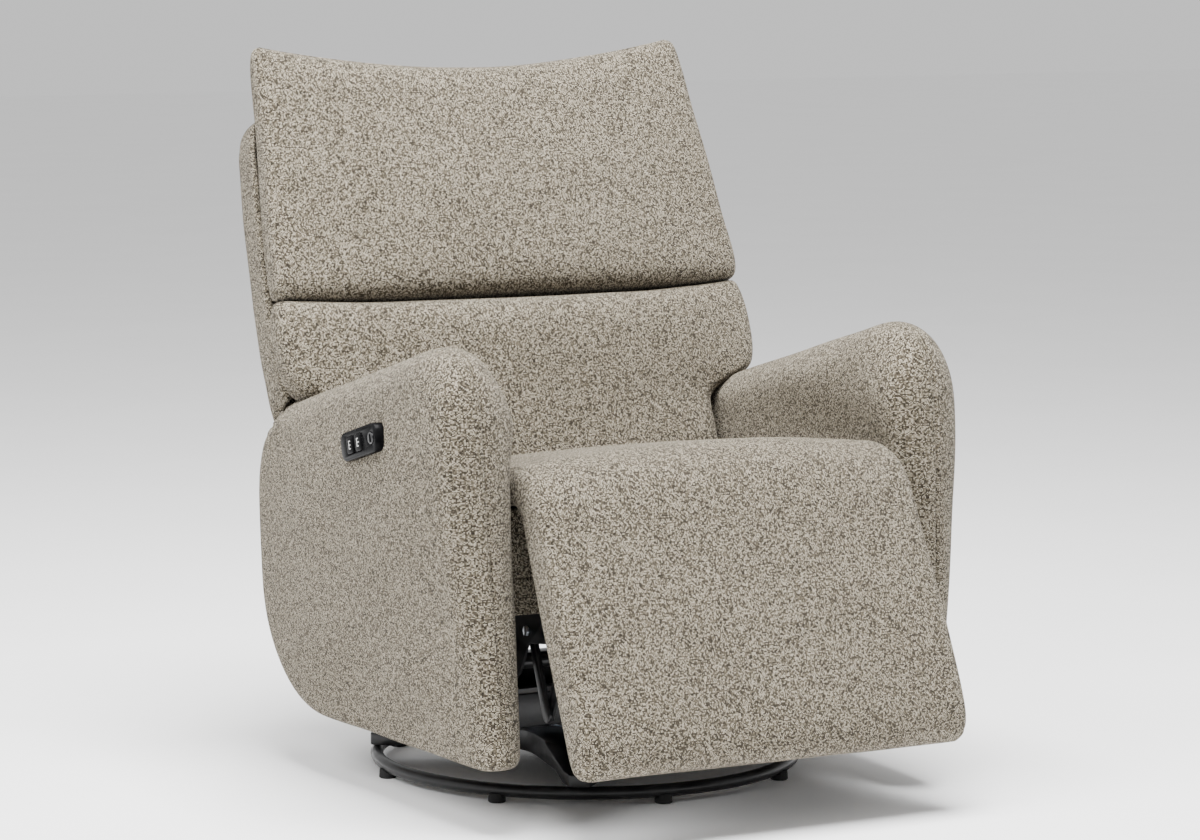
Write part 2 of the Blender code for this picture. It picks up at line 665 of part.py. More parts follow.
# ------------------------------------------------------------------ arms and switch
def arm_profile(grow=0.0):
    """Side outline of an arm, counter-clockwise from the front foot, optionally grown outwards."""
    nose_y = (ARM_FRONT_Y + ARM_RAKE * (ARM_LEVEL - ARM_BOTTOM_Z)) / (1 + ARM_RAKE * ARM_RISE)
    nose_z = ARM_LEVEL - ARM_RISE * nose_y
    back_z = ARM_LEVEL - ARM_RISE * ARM_REAR_Y
    corners = [(ARM_FRONT_Y, ARM_BOTTOM_Z, 0.022), (ARM_REAR_Y, ARM_BOTTOM_Z, ARM_HEEL_R),
               (ARM_REAR_Y, back_z, ARM_SHOULDER_R), (nose_y, nose_z, ARM_NOSE_R)]
    if grow:
        mid = ((ARM_FRONT_Y + ARM_REAR_Y) / 2, (ARM_BOTTOM_Z + ARM_LEVEL) / 2)
        corners = [(y + (grow if y > mid[0] else -grow), z + (grow if z > mid[1] else -grow), r + grow)
                   for y, z, r in corners]
    return rounded(corners, 9)


def arm_point(across, y, z, bulge=0.0):
    """A point of an arm's cover: the outer side leans in towards the floor, most of all in front."""
    fore = max(0.0, min(1.0, (ARM_REAR_Y - y) / (ARM_REAR_Y - ARM_FRONT_Y)))
    lean = ARM_TUCK * max(0.0, ARM_TUCK_Z - z) * (0.25 + 0.75 * fore)
    side = across / ARM_HALF
    share = 0.35 + 0.65 * side if side > 0 else 0.35 * (1 + side)
    return (ARM_X + across + bulge - lean * share, y, z)


def arms():
    """Upholstered arms: a full round over the front and top, softer edges below and behind."""
    outline = arm_profile()
    count = len(outline)
    normals = []
    for k in range(count):
        a, b = Vector(outline[k - 1]), Vector(outline[(k + 1) % count])
        along = (b - a).normalized()
        normals.append(Vector((along.y, -along.x)))
    centre = Vector(((ARM_FRONT_Y + ARM_REAR_Y) / 2, 0.33))
    # rounding of each outline point: full over the top and the front, small along the floor side
    rounds = []
    for n in normals:
        free = max(0.0, min(1.0, (n.y + 0.85) / 0.6))
        rear = max(0.0, n.x)
        rounds.append(ARM_SOLE_R + (ARM_HALF - 0.0015 - ARM_SOLE_R) * free * (1 - 0.45 * rear))
    stations = [ARM_HALF * sin(radians(a)) for a in (-90, -76, -58, -38, -16, 16, 38, 58, 76, 90)]
    for side, sign in (("left", 1), ("right", -1)):
        rings = []
        for across in stations:
            ring = []
            for p, n, r in zip(outline, normals, rounds):
                past = min(r, max(0.0, abs(across) - (ARM_HALF - r)))
                spot = Vector(p) - n * (r - sqrt(r * r - past * past))
                x, y, z = arm_point(across, spot.x, spot.y)
                ring.append((sign * x, y, z))
            rings.append(ring)

        outer = []
        for scale in (0.72, 0.40):
            layer = []
            for x, y, z in rings[-1]:
                near_y, near_z = centre.x + (y - centre.x) * scale, centre.y + (z - centre.y) * scale
                swell = ARM_BULGE * (1 - scale ** 2) / (1 - 0.4 ** 2)
                x, y, z = arm_point(ARM_HALF, near_y, near_z, swell)
                layer.append((sign * x, y, z))
            outer.append(layer)
        arm = loft(f"arm_{side}", rings + outer, FABRIC, "seat")
        if side == "right":
            pocket = switch_block("guide_switch_pocket", GAP, 0.05)
            cut(arm, pocket)


ARM_FACE = ARM_X + ARM_HALF + ARM_BULGE
SWITCH_TILT = atan2(ARM_RISE, 1.0)


def switch_place(x, a, b):
    """A point of the switch: a runs forward along the arm's top line, b upwards."""
    along = (-cos(SWITCH_TILT), sin(SWITCH_TILT))
    up = (sin(SWITCH_TILT), cos(SWITCH_TILT))
    return (x, SWITCH_Y + along[0] * a + up[0] * b, SWITCH_Z + along[1] * a + up[1] * b)


def switch_block(name, grow, proud):
    half_l, half_w = SWITCH_L / 2 + grow, SWITCH_W / 2 + grow
    r = 0.014 + grow
    corners = ((-half_l, -half_w, r), (half_l, -half_w, r), (half_l, half_w, r), (-half_l, half_w, r))
    outline = rounded(corners, 5)
    deep = -ARM_FACE + SWITCH_DEEP + grow
    front = -ARM_FACE - proud
    return loft(name, [[switch_place(x, a, b) for a, b in outline] for x in (deep, front)], BLACK_PLASTIC)


def switch():
    """Bezel in the right arm with two push buttons and a charging port."""
    bezel = switch_block("switch_bezel", 0, SWITCH_PROUD)
    soften(bezel, 0.0025, 2, 60)
    face = -ARM_FACE - SWITCH_PROUD
    wells = 0.010
    for k, name in enumerate(("raise", "lower")):
        mid = (0.5 - k) * BUTTON_STEP - 0.010
        key = f"button_{name}"
        for grow, label, deep, out, at in ((GAP, f"guide_well_{name}", wells, 0.01, "seat"),
                                           (0, key, wells - 0.0018, -BUTTON_PROUD, key)):
            half_l, half_w = BUTTON_L / 2 + grow, BUTTON_W / 2 + grow
            r = 0.004 + grow
            outline = rounded(((mid - half_l, -half_w, r), (mid + half_l, -half_w, r),
                               (mid + half_l, half_w, r), (mid - half_l, half_w, r)), 3)
            front = face - (0.01 if grow else BUTTON_PROUD)
            rings = [[switch_place(x, a, b) for a, b in outline] for x in (face + deep, front)]
            piece = loft(label, rings, BLACK_PLASTIC, at)
            if grow:
                cut(bezel, piece)
            else:
                soften(piece, 0.001, 1, 60)
    mid = SWITCH_L / 2 - 0.017
    for grow, label in ((GAP, "guide_port"), (0, "usb_port")):
        around = circle(mid, 0, PORT_R + grow, 24)
        front = face - (0.01 if grow else 0.001)
        port = loft(label, [[switch_place(x, a, b) for a, b in around] for x in (face + wells + grow, front)],
                    BLACK_PLASTIC)
        if grow:
            cut(bezel, port)
        else:
            left, right = mid - 0.0025, mid + 0.0025
            slot = [(left, -0.006), (right, -0.006), (right, 0.006), (left, 0.006)]
            hollow = [[switch_place(x, a, b) for a, b in slot] for x in (face + 0.006, face - 0.01)]
            cut(port, loft("guide_port_slot", hollow, BLACK_PLASTIC))


# ------------------------------------------------------------------ back and head
BACK_UP = (sin(BACK_LEAN), cos(BACK_LEAN))
BACK_OUT = (-cos(BACK_LEAN), sin(BACK_LEAN))
back_place = frame_of((BACK_Y, BACK_Z), BACK_UP, BACK_OUT)


def in_back(y, z):
    """Side-plane point to the back's own s and t."""
    dy, dz = y - BACK_Y, z - BACK_Z
    return dy * BACK_UP[0] + dz * BACK_UP[1], dy * BACK_OUT[0] + dz * BACK_OUT[1]


def shell_ring(s, half, front, rear, edge):
    flat = half - edge
    spots = [(-half, front), (half, front)]
    for k in range(5):
        a = pi / 2 * k / 4
        spots.append((flat + edge * cos(a), rear + edge * (1 - sin(a))))
    for k in range(5):
        a = pi / 2 * (1 - k / 4)
        spots.append((-flat - edge * cos(a), rear + edge * (1 - sin(a))))
    return [back_place(x, s, t) for x, t in spots]


def back_shell():
    """Outer back: a tray that is open to the front and below, cleared around the arms."""
    top = SHELL_TOP
    # height up the back, half width, set-in of the rear face
    profile = ((SHELL_BOTTOM, HIP_X - 0.002, -0.004), (-0.02, HIP_X + 0.020, -0.005),
               (0.01, TUCK_X - 0.014, -0.006), (0.05, TUCK_X - 0.008, -0.008), (0.12, WAIST_X - 0.010, -0.006),
               (0.19, WAIST_X - 0.006, -0.002), (TUCK_S, TUCK_X + 0.003, 0.0),
               (0.40, (TUCK_X + HEAD_TOP_X) / 2 + 0.010, 0.0), (top - 0.045, HEAD_TOP_X + 0.016, 0.0),
               (top - 0.018, HEAD_TOP_X + 0.011, 0.006), (top - 0.005, HEAD_TOP_X + 0.004, 0.017),
               (top, HEAD_TOP_X - 0.009, 0.030))
    rings = [shell_ring(s, half, SHELL_FRONT, SHELL_REAR + inset, 0.026) for s, half, inset in profile]
    shell = loft("back_shell", rings, FABRIC, "back")
    wall = SHELL_WALL
    hollow = []
    for s, half, inset in profile[:-2]:
        s = min(s, top - wall - 0.004)
        hollow.append(shell_ring(s - (0.02 if s == SHELL_BOTTOM else 0), half - wall, SHELL_FRONT + 0.02,
                                 SHELL_REAR + inset + wall, 0.012))
    outline = arm_profile(SHELL_ROOM)
    count = len(outline)
    verts = []
    faces = []
    for sign in (1, -1):
        first = len(verts)
        for x in (sign * (ARM_X - ARM_HALF - ARM_FIT), sign * (ARM_X + ARM_HALF + 0.06)):
            verts.extend((x, y, z) for y, z in outline)
        faces.extend([first + k, first + (k + 1) % count, first + count + (k + 1) % count, first + count + k]
                     for k in range(count))
        faces.append([first + k for k in range(count)])
        faces.append([first + count + k for k in range(count)])
    cut(shell, body("guide_arm_room", verts, faces, FABRIC, "back"))
    cut(shell, loft("guide_shell_hollow", hollow, FABRIC, "back"))


def back_frame():
    """Wooden ring frame inside the shell, with the plates that turn on the recline pivot."""
    rear = SHELL_FRONT - 0.036
    front = rear + FRAME_T
    low = SHELL_BOTTOM + 0.012

    def ring(name, inset, deep):
        ss = (low + inset, FRAME_TOP - inset)
        half = FRAME_X - inset
        outline = [(-half, ss[0]), (half, ss[0]), (half, ss[1]), (-half, ss[1])]
        return loft(name, [[back_place(x, s, t) for x, s in outline] for t in (rear - deep, front + deep)],
                    WOOD, "back")

    frame = ring("back_frame", 0.0, 0.0)
    cut(frame, ring("guide_back_frame", FRAME_BAR, 0.01))
    s0, t0 = in_back(RECLINE_Y, RECLINE_Z)
    eye = 0.0135
    behind = rear - GAP
    corners = ((s0 - eye, t0 - eye, eye * 0.9), (0.22, t0 - eye * 0.75, 0.008), (0.22, behind, 0.004),
               (s0 + 0.03, behind, 0.004), (s0 - eye, t0 + eye, eye * 0.9))
    outline = rounded([(*back_place(0, s, t)[1:], r) for s, t, r in corners], 4)
    for side, sign in (("left", 1), ("right", -1)):
        plate(f"recline_plate_{side}", outline, sign * LINK_X, sign * (LINK_X + PLATE_T), STEEL, "back",
              holes=[(RECLINE_Y, RECLINE_Z, PIN_R + PIN_FIT)])
    lug = 0.003
    ends = [back_place(x, TUCK_S, HEAD_PIVOT_T) for x in (-FRAME_X, FRAME_X)]
    bar = rod("head_hinge_rod", ends[0], ends[1], HEAD_ROD_R, ZINC, "back", 12)
    for side, x in (("left", 0.205), ("right", -0.205)):
        outline = [(x - 0.008, -lug), (x + 0.008, -lug), (x + 0.008, lug), (x - 0.008, lug)]
        ears = [[back_place(a, TUCK_S + s, t) for a, s in outline] for t in (front + GAP, HEAD_PIVOT_T)]
        cut(bar, loft(f"guide_lug_{side}", ears, ZINC, "back"), "UNION")


def pad_run(name, stations, at):
    """A back pad from stations (s, half, back, front, crown, dip)."""
    rings = [cushion_ring(back_place, s, half, back, front, crown, 0.028, 0.012, dip)
             for s, half, back, front, crown, dip in stations]
    loft(name, rings, FABRIC, at)


def back_pads():
    """Lower pad that swells towards the sitter, and head pad with a hollowed top edge."""
    top = TUCK_S - TUCK_GAP
    low = SHELL_BOTTOM
    pad_run("lumbar_pad", (
        (low, HIP_X - 0.006, PAD_REAR + 0.010, 0.018, 0.006, 0),
        (low + 0.012, HIP_X - 0.002, PAD_REAR, 0.026, 0.010, 0), (0.02, HIP_X, PAD_REAR, 0.026, 0.014, 0),
        (0.074, HIP_X, PAD_REAR, 0.019, 0.021, 0), (0.092, HIP_X + 0.024, PAD_REAR, 0.016, 0.024, 0),
        (0.104, HIP_X + 0.047, PAD_REAR, 0.014, 0.026, 0), (0.120, TUCK_X - 0.018, PAD_REAR, 0.012, 0.029, 0),
        (0.142, TUCK_X, PAD_REAR, 0.009, 0.032, 0), (0.172, WAIST_X, PAD_REAR, 0.005, 0.034, 0),
        (top - 0.022, WAIST_X - 0.003, PAD_REAR, -0.003, 0.030, 0),
        (top - 0.010, TUCK_X + 0.004, PAD_REAR, -0.010, 0.024, 0),
        (top - 0.003, TUCK_X, PAD_REAR + 0.004, -0.018, 0.014, 0),
        (top, TUCK_X - 0.008, PAD_REAR + 0.010, -0.024, 0.006, 0)), "back")
    foot = TUCK_S + TUCK_GAP
    pad_run("head_pad", (
        (foot, TUCK_X - 0.008, PAD_REAR + 0.010, -0.024, 0.006, 0),
        (foot + 0.003, TUCK_X, PAD_REAR + 0.004, -0.018, 0.014, 0),
        (foot + 0.010, TUCK_X + 0.001, PAD_REAR, -0.010, 0.022, 0),
        (foot + 0.024, TUCK_X, PAD_REAR, -0.003, 0.028, 0), (0.34, TUCK_X - 0.004, PAD_REAR, 0.000, 0.028, 0),
        (0.43, TUCK_X - 0.011, PAD_REAR, 0.000, 0.024, 0.004),
        (0.51, HEAD_TOP_X + 0.008, PAD_REAR, -0.001, 0.018, 0.010),
        (HEAD_TOP - 0.055, HEAD_TOP_X + 0.003, PAD_REAR, -0.003, 0.013, 0.018),
        (HEAD_TOP - 0.022, HEAD_TOP_X, PAD_REAR + 0.002, -0.007, 0.009, 0.026),
        (HEAD_TOP - 0.007, HEAD_TOP_X - 0.006, PAD_REAR + 0.006, -0.013, 0.006, HEAD_DIP),
        (HEAD_TOP, HEAD_TOP_X - 0.018, PAD_REAR + 0.013, -0.020, 0.003, HEAD_DIP)), "head")


def head_frame():
    """Board behind the head pad and the two arms that hinge it in the fold."""
    front = PAD_REAR - GAP
    rear = front - HEAD_BOARD_T
    outline = rounded(((-HEAD_BOARD_X, TUCK_S + 0.014, 0.02), (HEAD_BOARD_X, TUCK_S + 0.014, 0.02),
                       (HEAD_BOARD_X, 0.505, 0.04), (-HEAD_BOARD_X, 0.505, 0.04)), 4)
    loft("head_board", [[back_place(x, s, t) for x, s in outline] for t in (rear, front)], WOOD, "head")
    eye = HEAD_ROD_R + 0.0017
    flat = 0.003
    behind = rear - GAP
    tail = TUCK_S + 0.075
    corners = [(TUCK_S - flat, HEAD_PIVOT_T - 0.003), (TUCK_S - flat, behind - 0.0035), (tail, behind - 0.0035),
               (tail, behind), (TUCK_S + flat, behind), (TUCK_S + flat, HEAD_PIVOT_T - 0.003)]
    arc = [(TUCK_S + eye * cos(a), HEAD_PIVOT_T + eye * sin(a))
           for a in (radians(d) for d in (45, 60, 75, 90, 105, 120, 135))]
    outline = [back_place(0, s, t)[1:] for s, t in corners + arc]
    for side, x in (("left", 0.150), ("right", -0.150)):
        pin = back_place(0, TUCK_S, HEAD_PIVOT_T)[1:]
        plate(f"head_arm_{side}", outline, x - 0.010, x + 0.010, ZINC, "head",
              holes=[(*pin, HEAD_ROD_R + 0.0003)])


# ------------------------------------------------------------------ actuator
def actuator():
    """Gear motor between the cross tubes, its spindle and the nut block that runs on it."""
    rear = TUBE_Y - TUBE_R - GAP
    low = (-MOTOR_W / 2, MOTOR_Y, TUBE_Z - MOTOR_H / 2)
    motor = block("motor_housing", low, (MOTOR_W / 2, rear, TUBE_Z + MOTOR_H / 2), BLACK_PLASTIC)
    soften(motor, 0.010, 2)
    rod("actuator_spindle", (0, -rear, TUBE_Z), (0, MOTOR_Y - GAP, TUBE_Z), SPINDLE_R, ZINC)
    half = SPINDLE_R + 0.011
    nut = block("actuator_nut", (-half, NUT_Y - NUT_L / 2, TUBE_Z - half),
                (half, NUT_Y + NUT_L / 2, TUBE_Z + half), BLACK_PLASTIC, "nut")
    cut(nut, rod("guide_nut_bore", (0, NUT_Y - NUT_L, TUBE_Z), (0, NUT_Y + NUT_L, TUBE_Z),
                 SPINDLE_R + PIN_FIT, ZINC, "nut"))
    side = MOTOR_W / 2 + GAP
    inlet_y = rear - 0.035
    rod("power_inlet", (side, inlet_y, TUBE_Z), (side + 0.012, inlet_y, TUBE_Z), 0.007, BLACK_PLASTIC)


def joints():
    low = frame_of((KNEE_Y, KNEE_Z), FOOT_DOWN, FOOT_OUT)(0, CRANK_L, CRANK_IN)
    pivot("base", (0, 0, 0))
    pivot("turntable", (0, 0, 0))
    for end, y in (("front", -GLIDE_PIVOT_Y), ("rear", GLIDE_PIVOT_Y)):
        for side in ("left", "right"):
            pivot(f"swing_{end}_{side}", (0, y, GLIDE_TOP_Z))
    pivot("seat", (0, -GLIDE_PIVOT_Y, GLIDE_LOW_Z))
    pivot("footrest", (0, KNEE_Y, KNEE_Z))
    for side in ("left", "right"):
        pivot(f"stay_{side}", (0, *STAY))
        pivot(f"tie_{side}", low)
    pivot("back", (0, RECLINE_Y, RECLINE_Z))
    pivot("head", back_place(0, TUCK_S, HEAD_PIVOT_T))
    for name in ("raise", "lower"):
        pivot(f"button_{name}", switch_place(-ARM_FACE, 0, 0))
    pivot("nut", (0, NUT_Y, TUBE_Z))


joints()
base_ring()
base_cross()
base_feet()
swivel_bearing()
glider_frame()
swing_links()
seat_rails()
cross_tubes()
seat_box()
chaise_pads()
footrest_frame()
arms()
switch()
back_shell()
back_frame()
back_pads()
head_frame()
actuator()
bpy.context.view_layer.update()
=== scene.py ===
import json
from math import atan2, cos, pi, radians, sin, sqrt, tan

import bmesh
import bpy
from mathutils import Matrix, Vector, noise

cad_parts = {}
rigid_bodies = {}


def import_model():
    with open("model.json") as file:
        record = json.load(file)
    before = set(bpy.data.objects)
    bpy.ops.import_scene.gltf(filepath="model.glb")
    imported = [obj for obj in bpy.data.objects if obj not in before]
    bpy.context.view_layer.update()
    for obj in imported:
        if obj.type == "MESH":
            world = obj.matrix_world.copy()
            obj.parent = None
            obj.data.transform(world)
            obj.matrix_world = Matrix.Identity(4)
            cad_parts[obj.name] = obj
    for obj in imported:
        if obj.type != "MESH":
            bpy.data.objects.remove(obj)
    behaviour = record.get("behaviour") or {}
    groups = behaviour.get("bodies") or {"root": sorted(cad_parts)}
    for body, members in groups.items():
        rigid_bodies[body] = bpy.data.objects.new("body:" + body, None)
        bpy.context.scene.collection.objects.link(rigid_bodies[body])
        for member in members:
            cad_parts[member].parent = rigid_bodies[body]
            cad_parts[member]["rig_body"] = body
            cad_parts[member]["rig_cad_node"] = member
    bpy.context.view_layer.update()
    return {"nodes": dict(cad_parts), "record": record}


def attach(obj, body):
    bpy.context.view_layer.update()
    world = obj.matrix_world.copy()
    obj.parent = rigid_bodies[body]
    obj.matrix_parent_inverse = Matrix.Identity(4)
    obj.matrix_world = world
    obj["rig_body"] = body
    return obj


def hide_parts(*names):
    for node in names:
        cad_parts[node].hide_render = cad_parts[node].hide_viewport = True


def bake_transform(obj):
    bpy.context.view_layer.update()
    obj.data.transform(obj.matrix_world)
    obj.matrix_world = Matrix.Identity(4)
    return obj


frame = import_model()
NODES = frame["nodes"]

# ------------------------------------------------------------------ sizes shared with the frame
GAP = 0.0003             # between pieces that touch
SWIVEL_Y = 0.0775        # swivel axis behind the middle of the footprint

# seat and footrest
KNEE = (-0.335 + SWIVEL_Y, 0.405)
SEAT_REAR_Y = 0.035 + SWIVEL_Y
SEAT_FALL = radians(8.4)
SEAT_TOP = 0.084         # upper face of the seat pad above the knee line
PAD_BACK = 0.028         # underside of the seat pad above the knee line
PAD_X = 0.2925           # half width of the seat pad
FOOT_SLOPE = radians(26.0)
FOOT_TOP = 0.0925
FOOT_L = 0.366

# back
BACK_FOOT = (0.120 + SWIVEL_Y, 0.440)
BACK_LEAN = radians(21.0)
BACK_REAR = -0.045       # rear face of both back pads
TUCK_S = 0.250           # fold between the two back pads
TUCK_GAP = 0.0004
TUCK_BOW = 0.016         # sag of that fold in the middle
HEAD_TOP = 0.633

# arms
ARM_X = 0.3525
ARM_HALF = 0.0565
ARM_BULGE = 0.015
ARM_FRONT_Y = -0.406 + SWIVEL_Y
ARM_REAR_Y = 0.267 + SWIVEL_Y
ARM_BOTTOM_Z = 0.088
ARM_LEVEL = 0.575
ARM_RISE = 0.27
ARM_RAKE = 0.073
ARM_TUCK = 0.12          # inward lean of the outer side
ARM_TUCK_Z = 0.48        # height where that lean starts

# base, rails and pivots
RING_R = 0.300
RING_TUBE_R = 0.0092
RING_Z = 0.0174
RAIL_OUT_X = 0.229       # outer face of a seat rail
POST_IN_X = 0.2164       # inner face of a glider bracket
STAY_PIVOT = (-0.260 + SWIVEL_Y, 0.250)
RECLINE_PIVOT = (0.185 + SWIVEL_Y, 0.345)
GLIDE_Y = 0.140          # hanging links, before and behind the swivel axis
HANGER_Z = 0.138
POST_Z = 0.238
BOX_FRONT_Y = -0.305 + SWIVEL_Y

# switch
SWITCH_AT = (-0.147 + SWIVEL_Y, 0.507)
SWITCH_TILT = atan2(ARM_RISE, 1.0)
SWITCH_PROUD = 0.004
BUTTON_PROUD = 0.0025
BUTTON_STEP = 0.026


# ------------------------------------------------------------------ tools
def only(obj):
    """obj alone is selected and active."""
    bpy.ops.object.select_all(action="DESELECT")
    obj.select_set(True)
    bpy.context.view_layer.objects.active = obj


def apply_all(obj):
    only(obj)
    for mod in list(obj.modifiers):
        bpy.ops.object.modifier_apply(modifier=mod.name)


def smooth_skin(obj, levels=1):
    mod = obj.modifiers.new("Subdivision", "SUBSURF")
    mod.levels = levels
    mod.render_levels = levels
    apply_all(obj)
    only(obj)
    bpy.ops.object.shade_smooth()


def settle(obj, body, *nodes):
    """The finished piece rides on a body and stands for CAD nodes."""
    only(obj)
    bpy.ops.object.transform_apply(location=True, rotation=True, scale=True)
    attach(obj, body)
    if nodes:
        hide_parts(*nodes)
    return obj


def skin(name, rings, folded=False):
    """A closed body over rings of equal length; a folded end is closed straight across, front to back."""
    count = len(rings[0])
    mesh = bpy.data.meshes.new(name)
    bm = bmesh.new()
    made = [[bm.verts.new(v) for v in ring] for ring in rings]
    for a, b in zip(made, made[1:]):
        for k in range(count):
            n = (k + 1) % count
            bm.faces.new((a[k], a[n], b[n], b[k]))
    close = fold_end if folded else close_end
    for ring in (made[0], made[-1]):
        close(bm, ring)
    bmesh.ops.recalc_face_normals(bm, faces=bm.faces)
    bm.to_mesh(mesh)
    bm.free()
    obj = bpy.data.objects.new(name, mesh)
    bpy.context.scene.collection.objects.link(obj)
    return obj


def close_end(bm, ring):
    """Closes an end ring with two inner rings and a middle point, so that it subdivides evenly."""
    middle = sum((v.co for v in ring), Vector()) / len(ring)
    outer = ring
    for share in (0.66, 0.33):
        inner = [bm.verts.new(middle + (v.co - middle) * share) for v in ring]
        for k in range(len(ring)):
            n = (k + 1) % len(ring)
            bm.faces.new((outer[k], outer[n], inner[n], inner[k]))
        outer = inner
    hub = bm.verts.new(middle)
    for k in range(len(ring)):
        bm.faces.new((outer[k], outer[(k + 1) % len(ring)], hub))


def fold_end(bm, ring):
    """Closes an end ring across its thickness, each front point to the back point opposite."""
    count = len(ring)
    half = count // 2
    for k in range(half // 2):
        for a, b, c, d in ((k, k + 1, half - k - 1, half - k),
                           (-k % count, (-k - 1) % count, (half + k + 1) % count, (half + k) % count)):
            corners = []
            for index in (a, b, c, d):
                if ring[index] not in corners:
                    corners.append(ring[index])
            bm.faces.new(corners)


def weave_uv(obj):
    """A cloth-length map in metres, laid flat on each side of the piece."""
    only(obj)
    if not obj.data.uv_layers:
        obj.data.uv_layers.new(name="weave")
    bpy.ops.object.mode_set(mode="EDIT")
    bpy.ops.mesh.select_all(action="SELECT")
    bpy.ops.uv.cube_project(cube_size=1.0, correct_aspect=False)
    bpy.ops.object.mode_set(mode="OBJECT")


def ripple(obj, height, size, seed=0.0):
    """Slight hand-made unevenness of stuffed cloth."""
    mesh = obj.data
    moves = []
    for v in mesh.vertices:
        p = v.co / size + Vector((seed, seed * 0.7, -seed))
        moves.append(v.normal * (height * noise.noise(p)))
    for v, move in zip(mesh.vertices, moves):
        v.co += move


def paint(obj, mat):
    obj.data.materials.clear()
    obj.data.materials.append(mat)


def frame_of(origin, up, out):
    """A drawing frame in the side plane: s runs along up, t along out, x across."""
    def point(x, s, t):
        return Vector((x, origin[0] + up[0] * s + out[0] * t, origin[1] + up[1] * s + out[1] * t))
    return point


def pad_section(place, s, half, back, front, crown, edge, heel, dip=0.0, seam=0.0030, bow=0.0, power=2.0):
    """One section across a pad: flat back, boxed sides with a seam at the edge, crowned face."""
    depth = front - back
    edge = min(edge, depth * 0.55)
    heel = min(heel, depth * 0.35)
    flat = half - edge
    groove = 34              # degrees round the edge where the seam is sunk
    right = []
    for k in range(7):
        x = flat * k / 6
        right.append((x, front + crown * (1 - (x / flat) ** 2.4)))
    for degree in (16, groove - 3, groove, groove + 3, 58, 80):
        a = radians(degree)
        sink = seam if degree == groove else 0.0
        right.append((flat + (edge - sink) * sin(a), front - edge + (edge - sink) * cos(a)))
    low, high = back + heel, front - edge
    for share in (0.33, 0.66):
        right.append((half + bow * sin(pi * share), high + (low - high) * share))
    for degree in (0, 35, 70, 90):
        a = radians(degree)
        right.append((half - heel + heel * cos(a), back + heel - heel * sin(a)))
    for share in (0.25, 0.5, 0.75, 1.0):
        right.append(((half - heel) * (1 - share), back))
    ring = right + [(-x, t) for x, t in reversed(right[1:-1])]
    return [place(x, s - dip * (1 - abs(x / half) ** power), t) for x, t in ring]


# ------------------------------------------------------------------ finishes
def link(tree, a, b):
    tree.links.new(a, b)


def math_node(tree, kind, a, b=None, c=None):
    node = tree.nodes.new("ShaderNodeMath")
    node.operation = kind
    for socket, value in zip(node.inputs, (a, b, c)):
        if value is None:
            continue
        if isinstance(value, (int, float)):
            socket.default_value = value
        else:
            tree.links.new(value, socket)
    return node.outputs[0]


def noise_node(tree, vector, scale, detail=2.0, rough=0.5):
    node = tree.nodes.new("ShaderNodeTexNoise")
    node.inputs["Scale"].default_value = scale
    node.inputs["Detail"].default_value = detail
    node.inputs["Roughness"].default_value = rough
    tree.links.new(vector, node.inputs["Vector"])
    return node.outputs["Fac"]


def scaled(tree, vector, scale):
    node = tree.nodes.new("ShaderNodeMapping")
    node.inputs["Scale"].default_value = scale
    tree.links.new(vector, node.inputs["Vector"])
    return node.outputs["Vector"]


def ramp_node(tree, fac, stops):
    node = tree.nodes.new("ShaderNodeValToRGB")
    ramp = node.color_ramp
    while len(ramp.elements) < len(stops):
        ramp.elements.new(0.5)
    for element, (place, colour) in zip(ramp.elements, stops):
        element.position = place
        element.color = (*colour, 1.0)
    tree.links.new(fac, node.inputs["Fac"])
    return node.outputs["Color"]


def mix_colour(tree, fac, a, b, kind="MIX"):
    node = tree.nodes.new("ShaderNodeMix")
    node.data_type = "RGBA"
    node.blend_type = kind
    for socket, value in ((node.inputs[0], fac), (node.inputs[6], a), (node.inputs[7], b)):
        if isinstance(value, (int, float)):
            socket.default_value = value
        elif isinstance(value, tuple):
            socket.default_value = (*value, 1.0)
        else:
            tree.links.new(value, socket)
    return node.outputs[2]


def bump_node(tree, height, distance, strength=1.0):
    node = tree.nodes.new("ShaderNodeBump")
    node.inputs["Strength"].default_value = strength
    node.inputs["Distance"].default_value = distance
    tree.links.new(height, node.inputs["Height"])
    return node.outputs["Normal"]


def new_material(name):
    mat = bpy.data.materials.new(name)
    mat.use_nodes = True
    tree = mat.node_tree
    shader = tree.nodes["Principled BSDF"]
    coords = tree.nodes.new("ShaderNodeTexCoord")
    return mat, tree, shader, coords


YARN = 0.0016            # pitch of the cloth's weave


def random_node(tree, u, v):
    """One random value for each whole step of u and v."""
    cell = tree.nodes.new("ShaderNodeCombineXYZ")
    link(tree, math_node(tree, "FLOOR", u), cell.inputs[0])
    link(tree, math_node(tree, "FLOOR", v), cell.inputs[1])
    node = tree.nodes.new("ShaderNodeTexWhiteNoise")
    node.noise_dimensions = "2D"
    link(tree, cell.outputs[0], node.inputs["Vector"])
    return node.outputs["Value"]


def mix_value(tree, fac, a, b):
    node = tree.nodes.new("ShaderNodeMix")
    for socket, value in zip(node.inputs, (fac, None, a, b)):
        if isinstance(value, (int, float)):
            socket.default_value = value
        elif value is not None:
            link(tree, value, socket)
    return node.outputs[0]


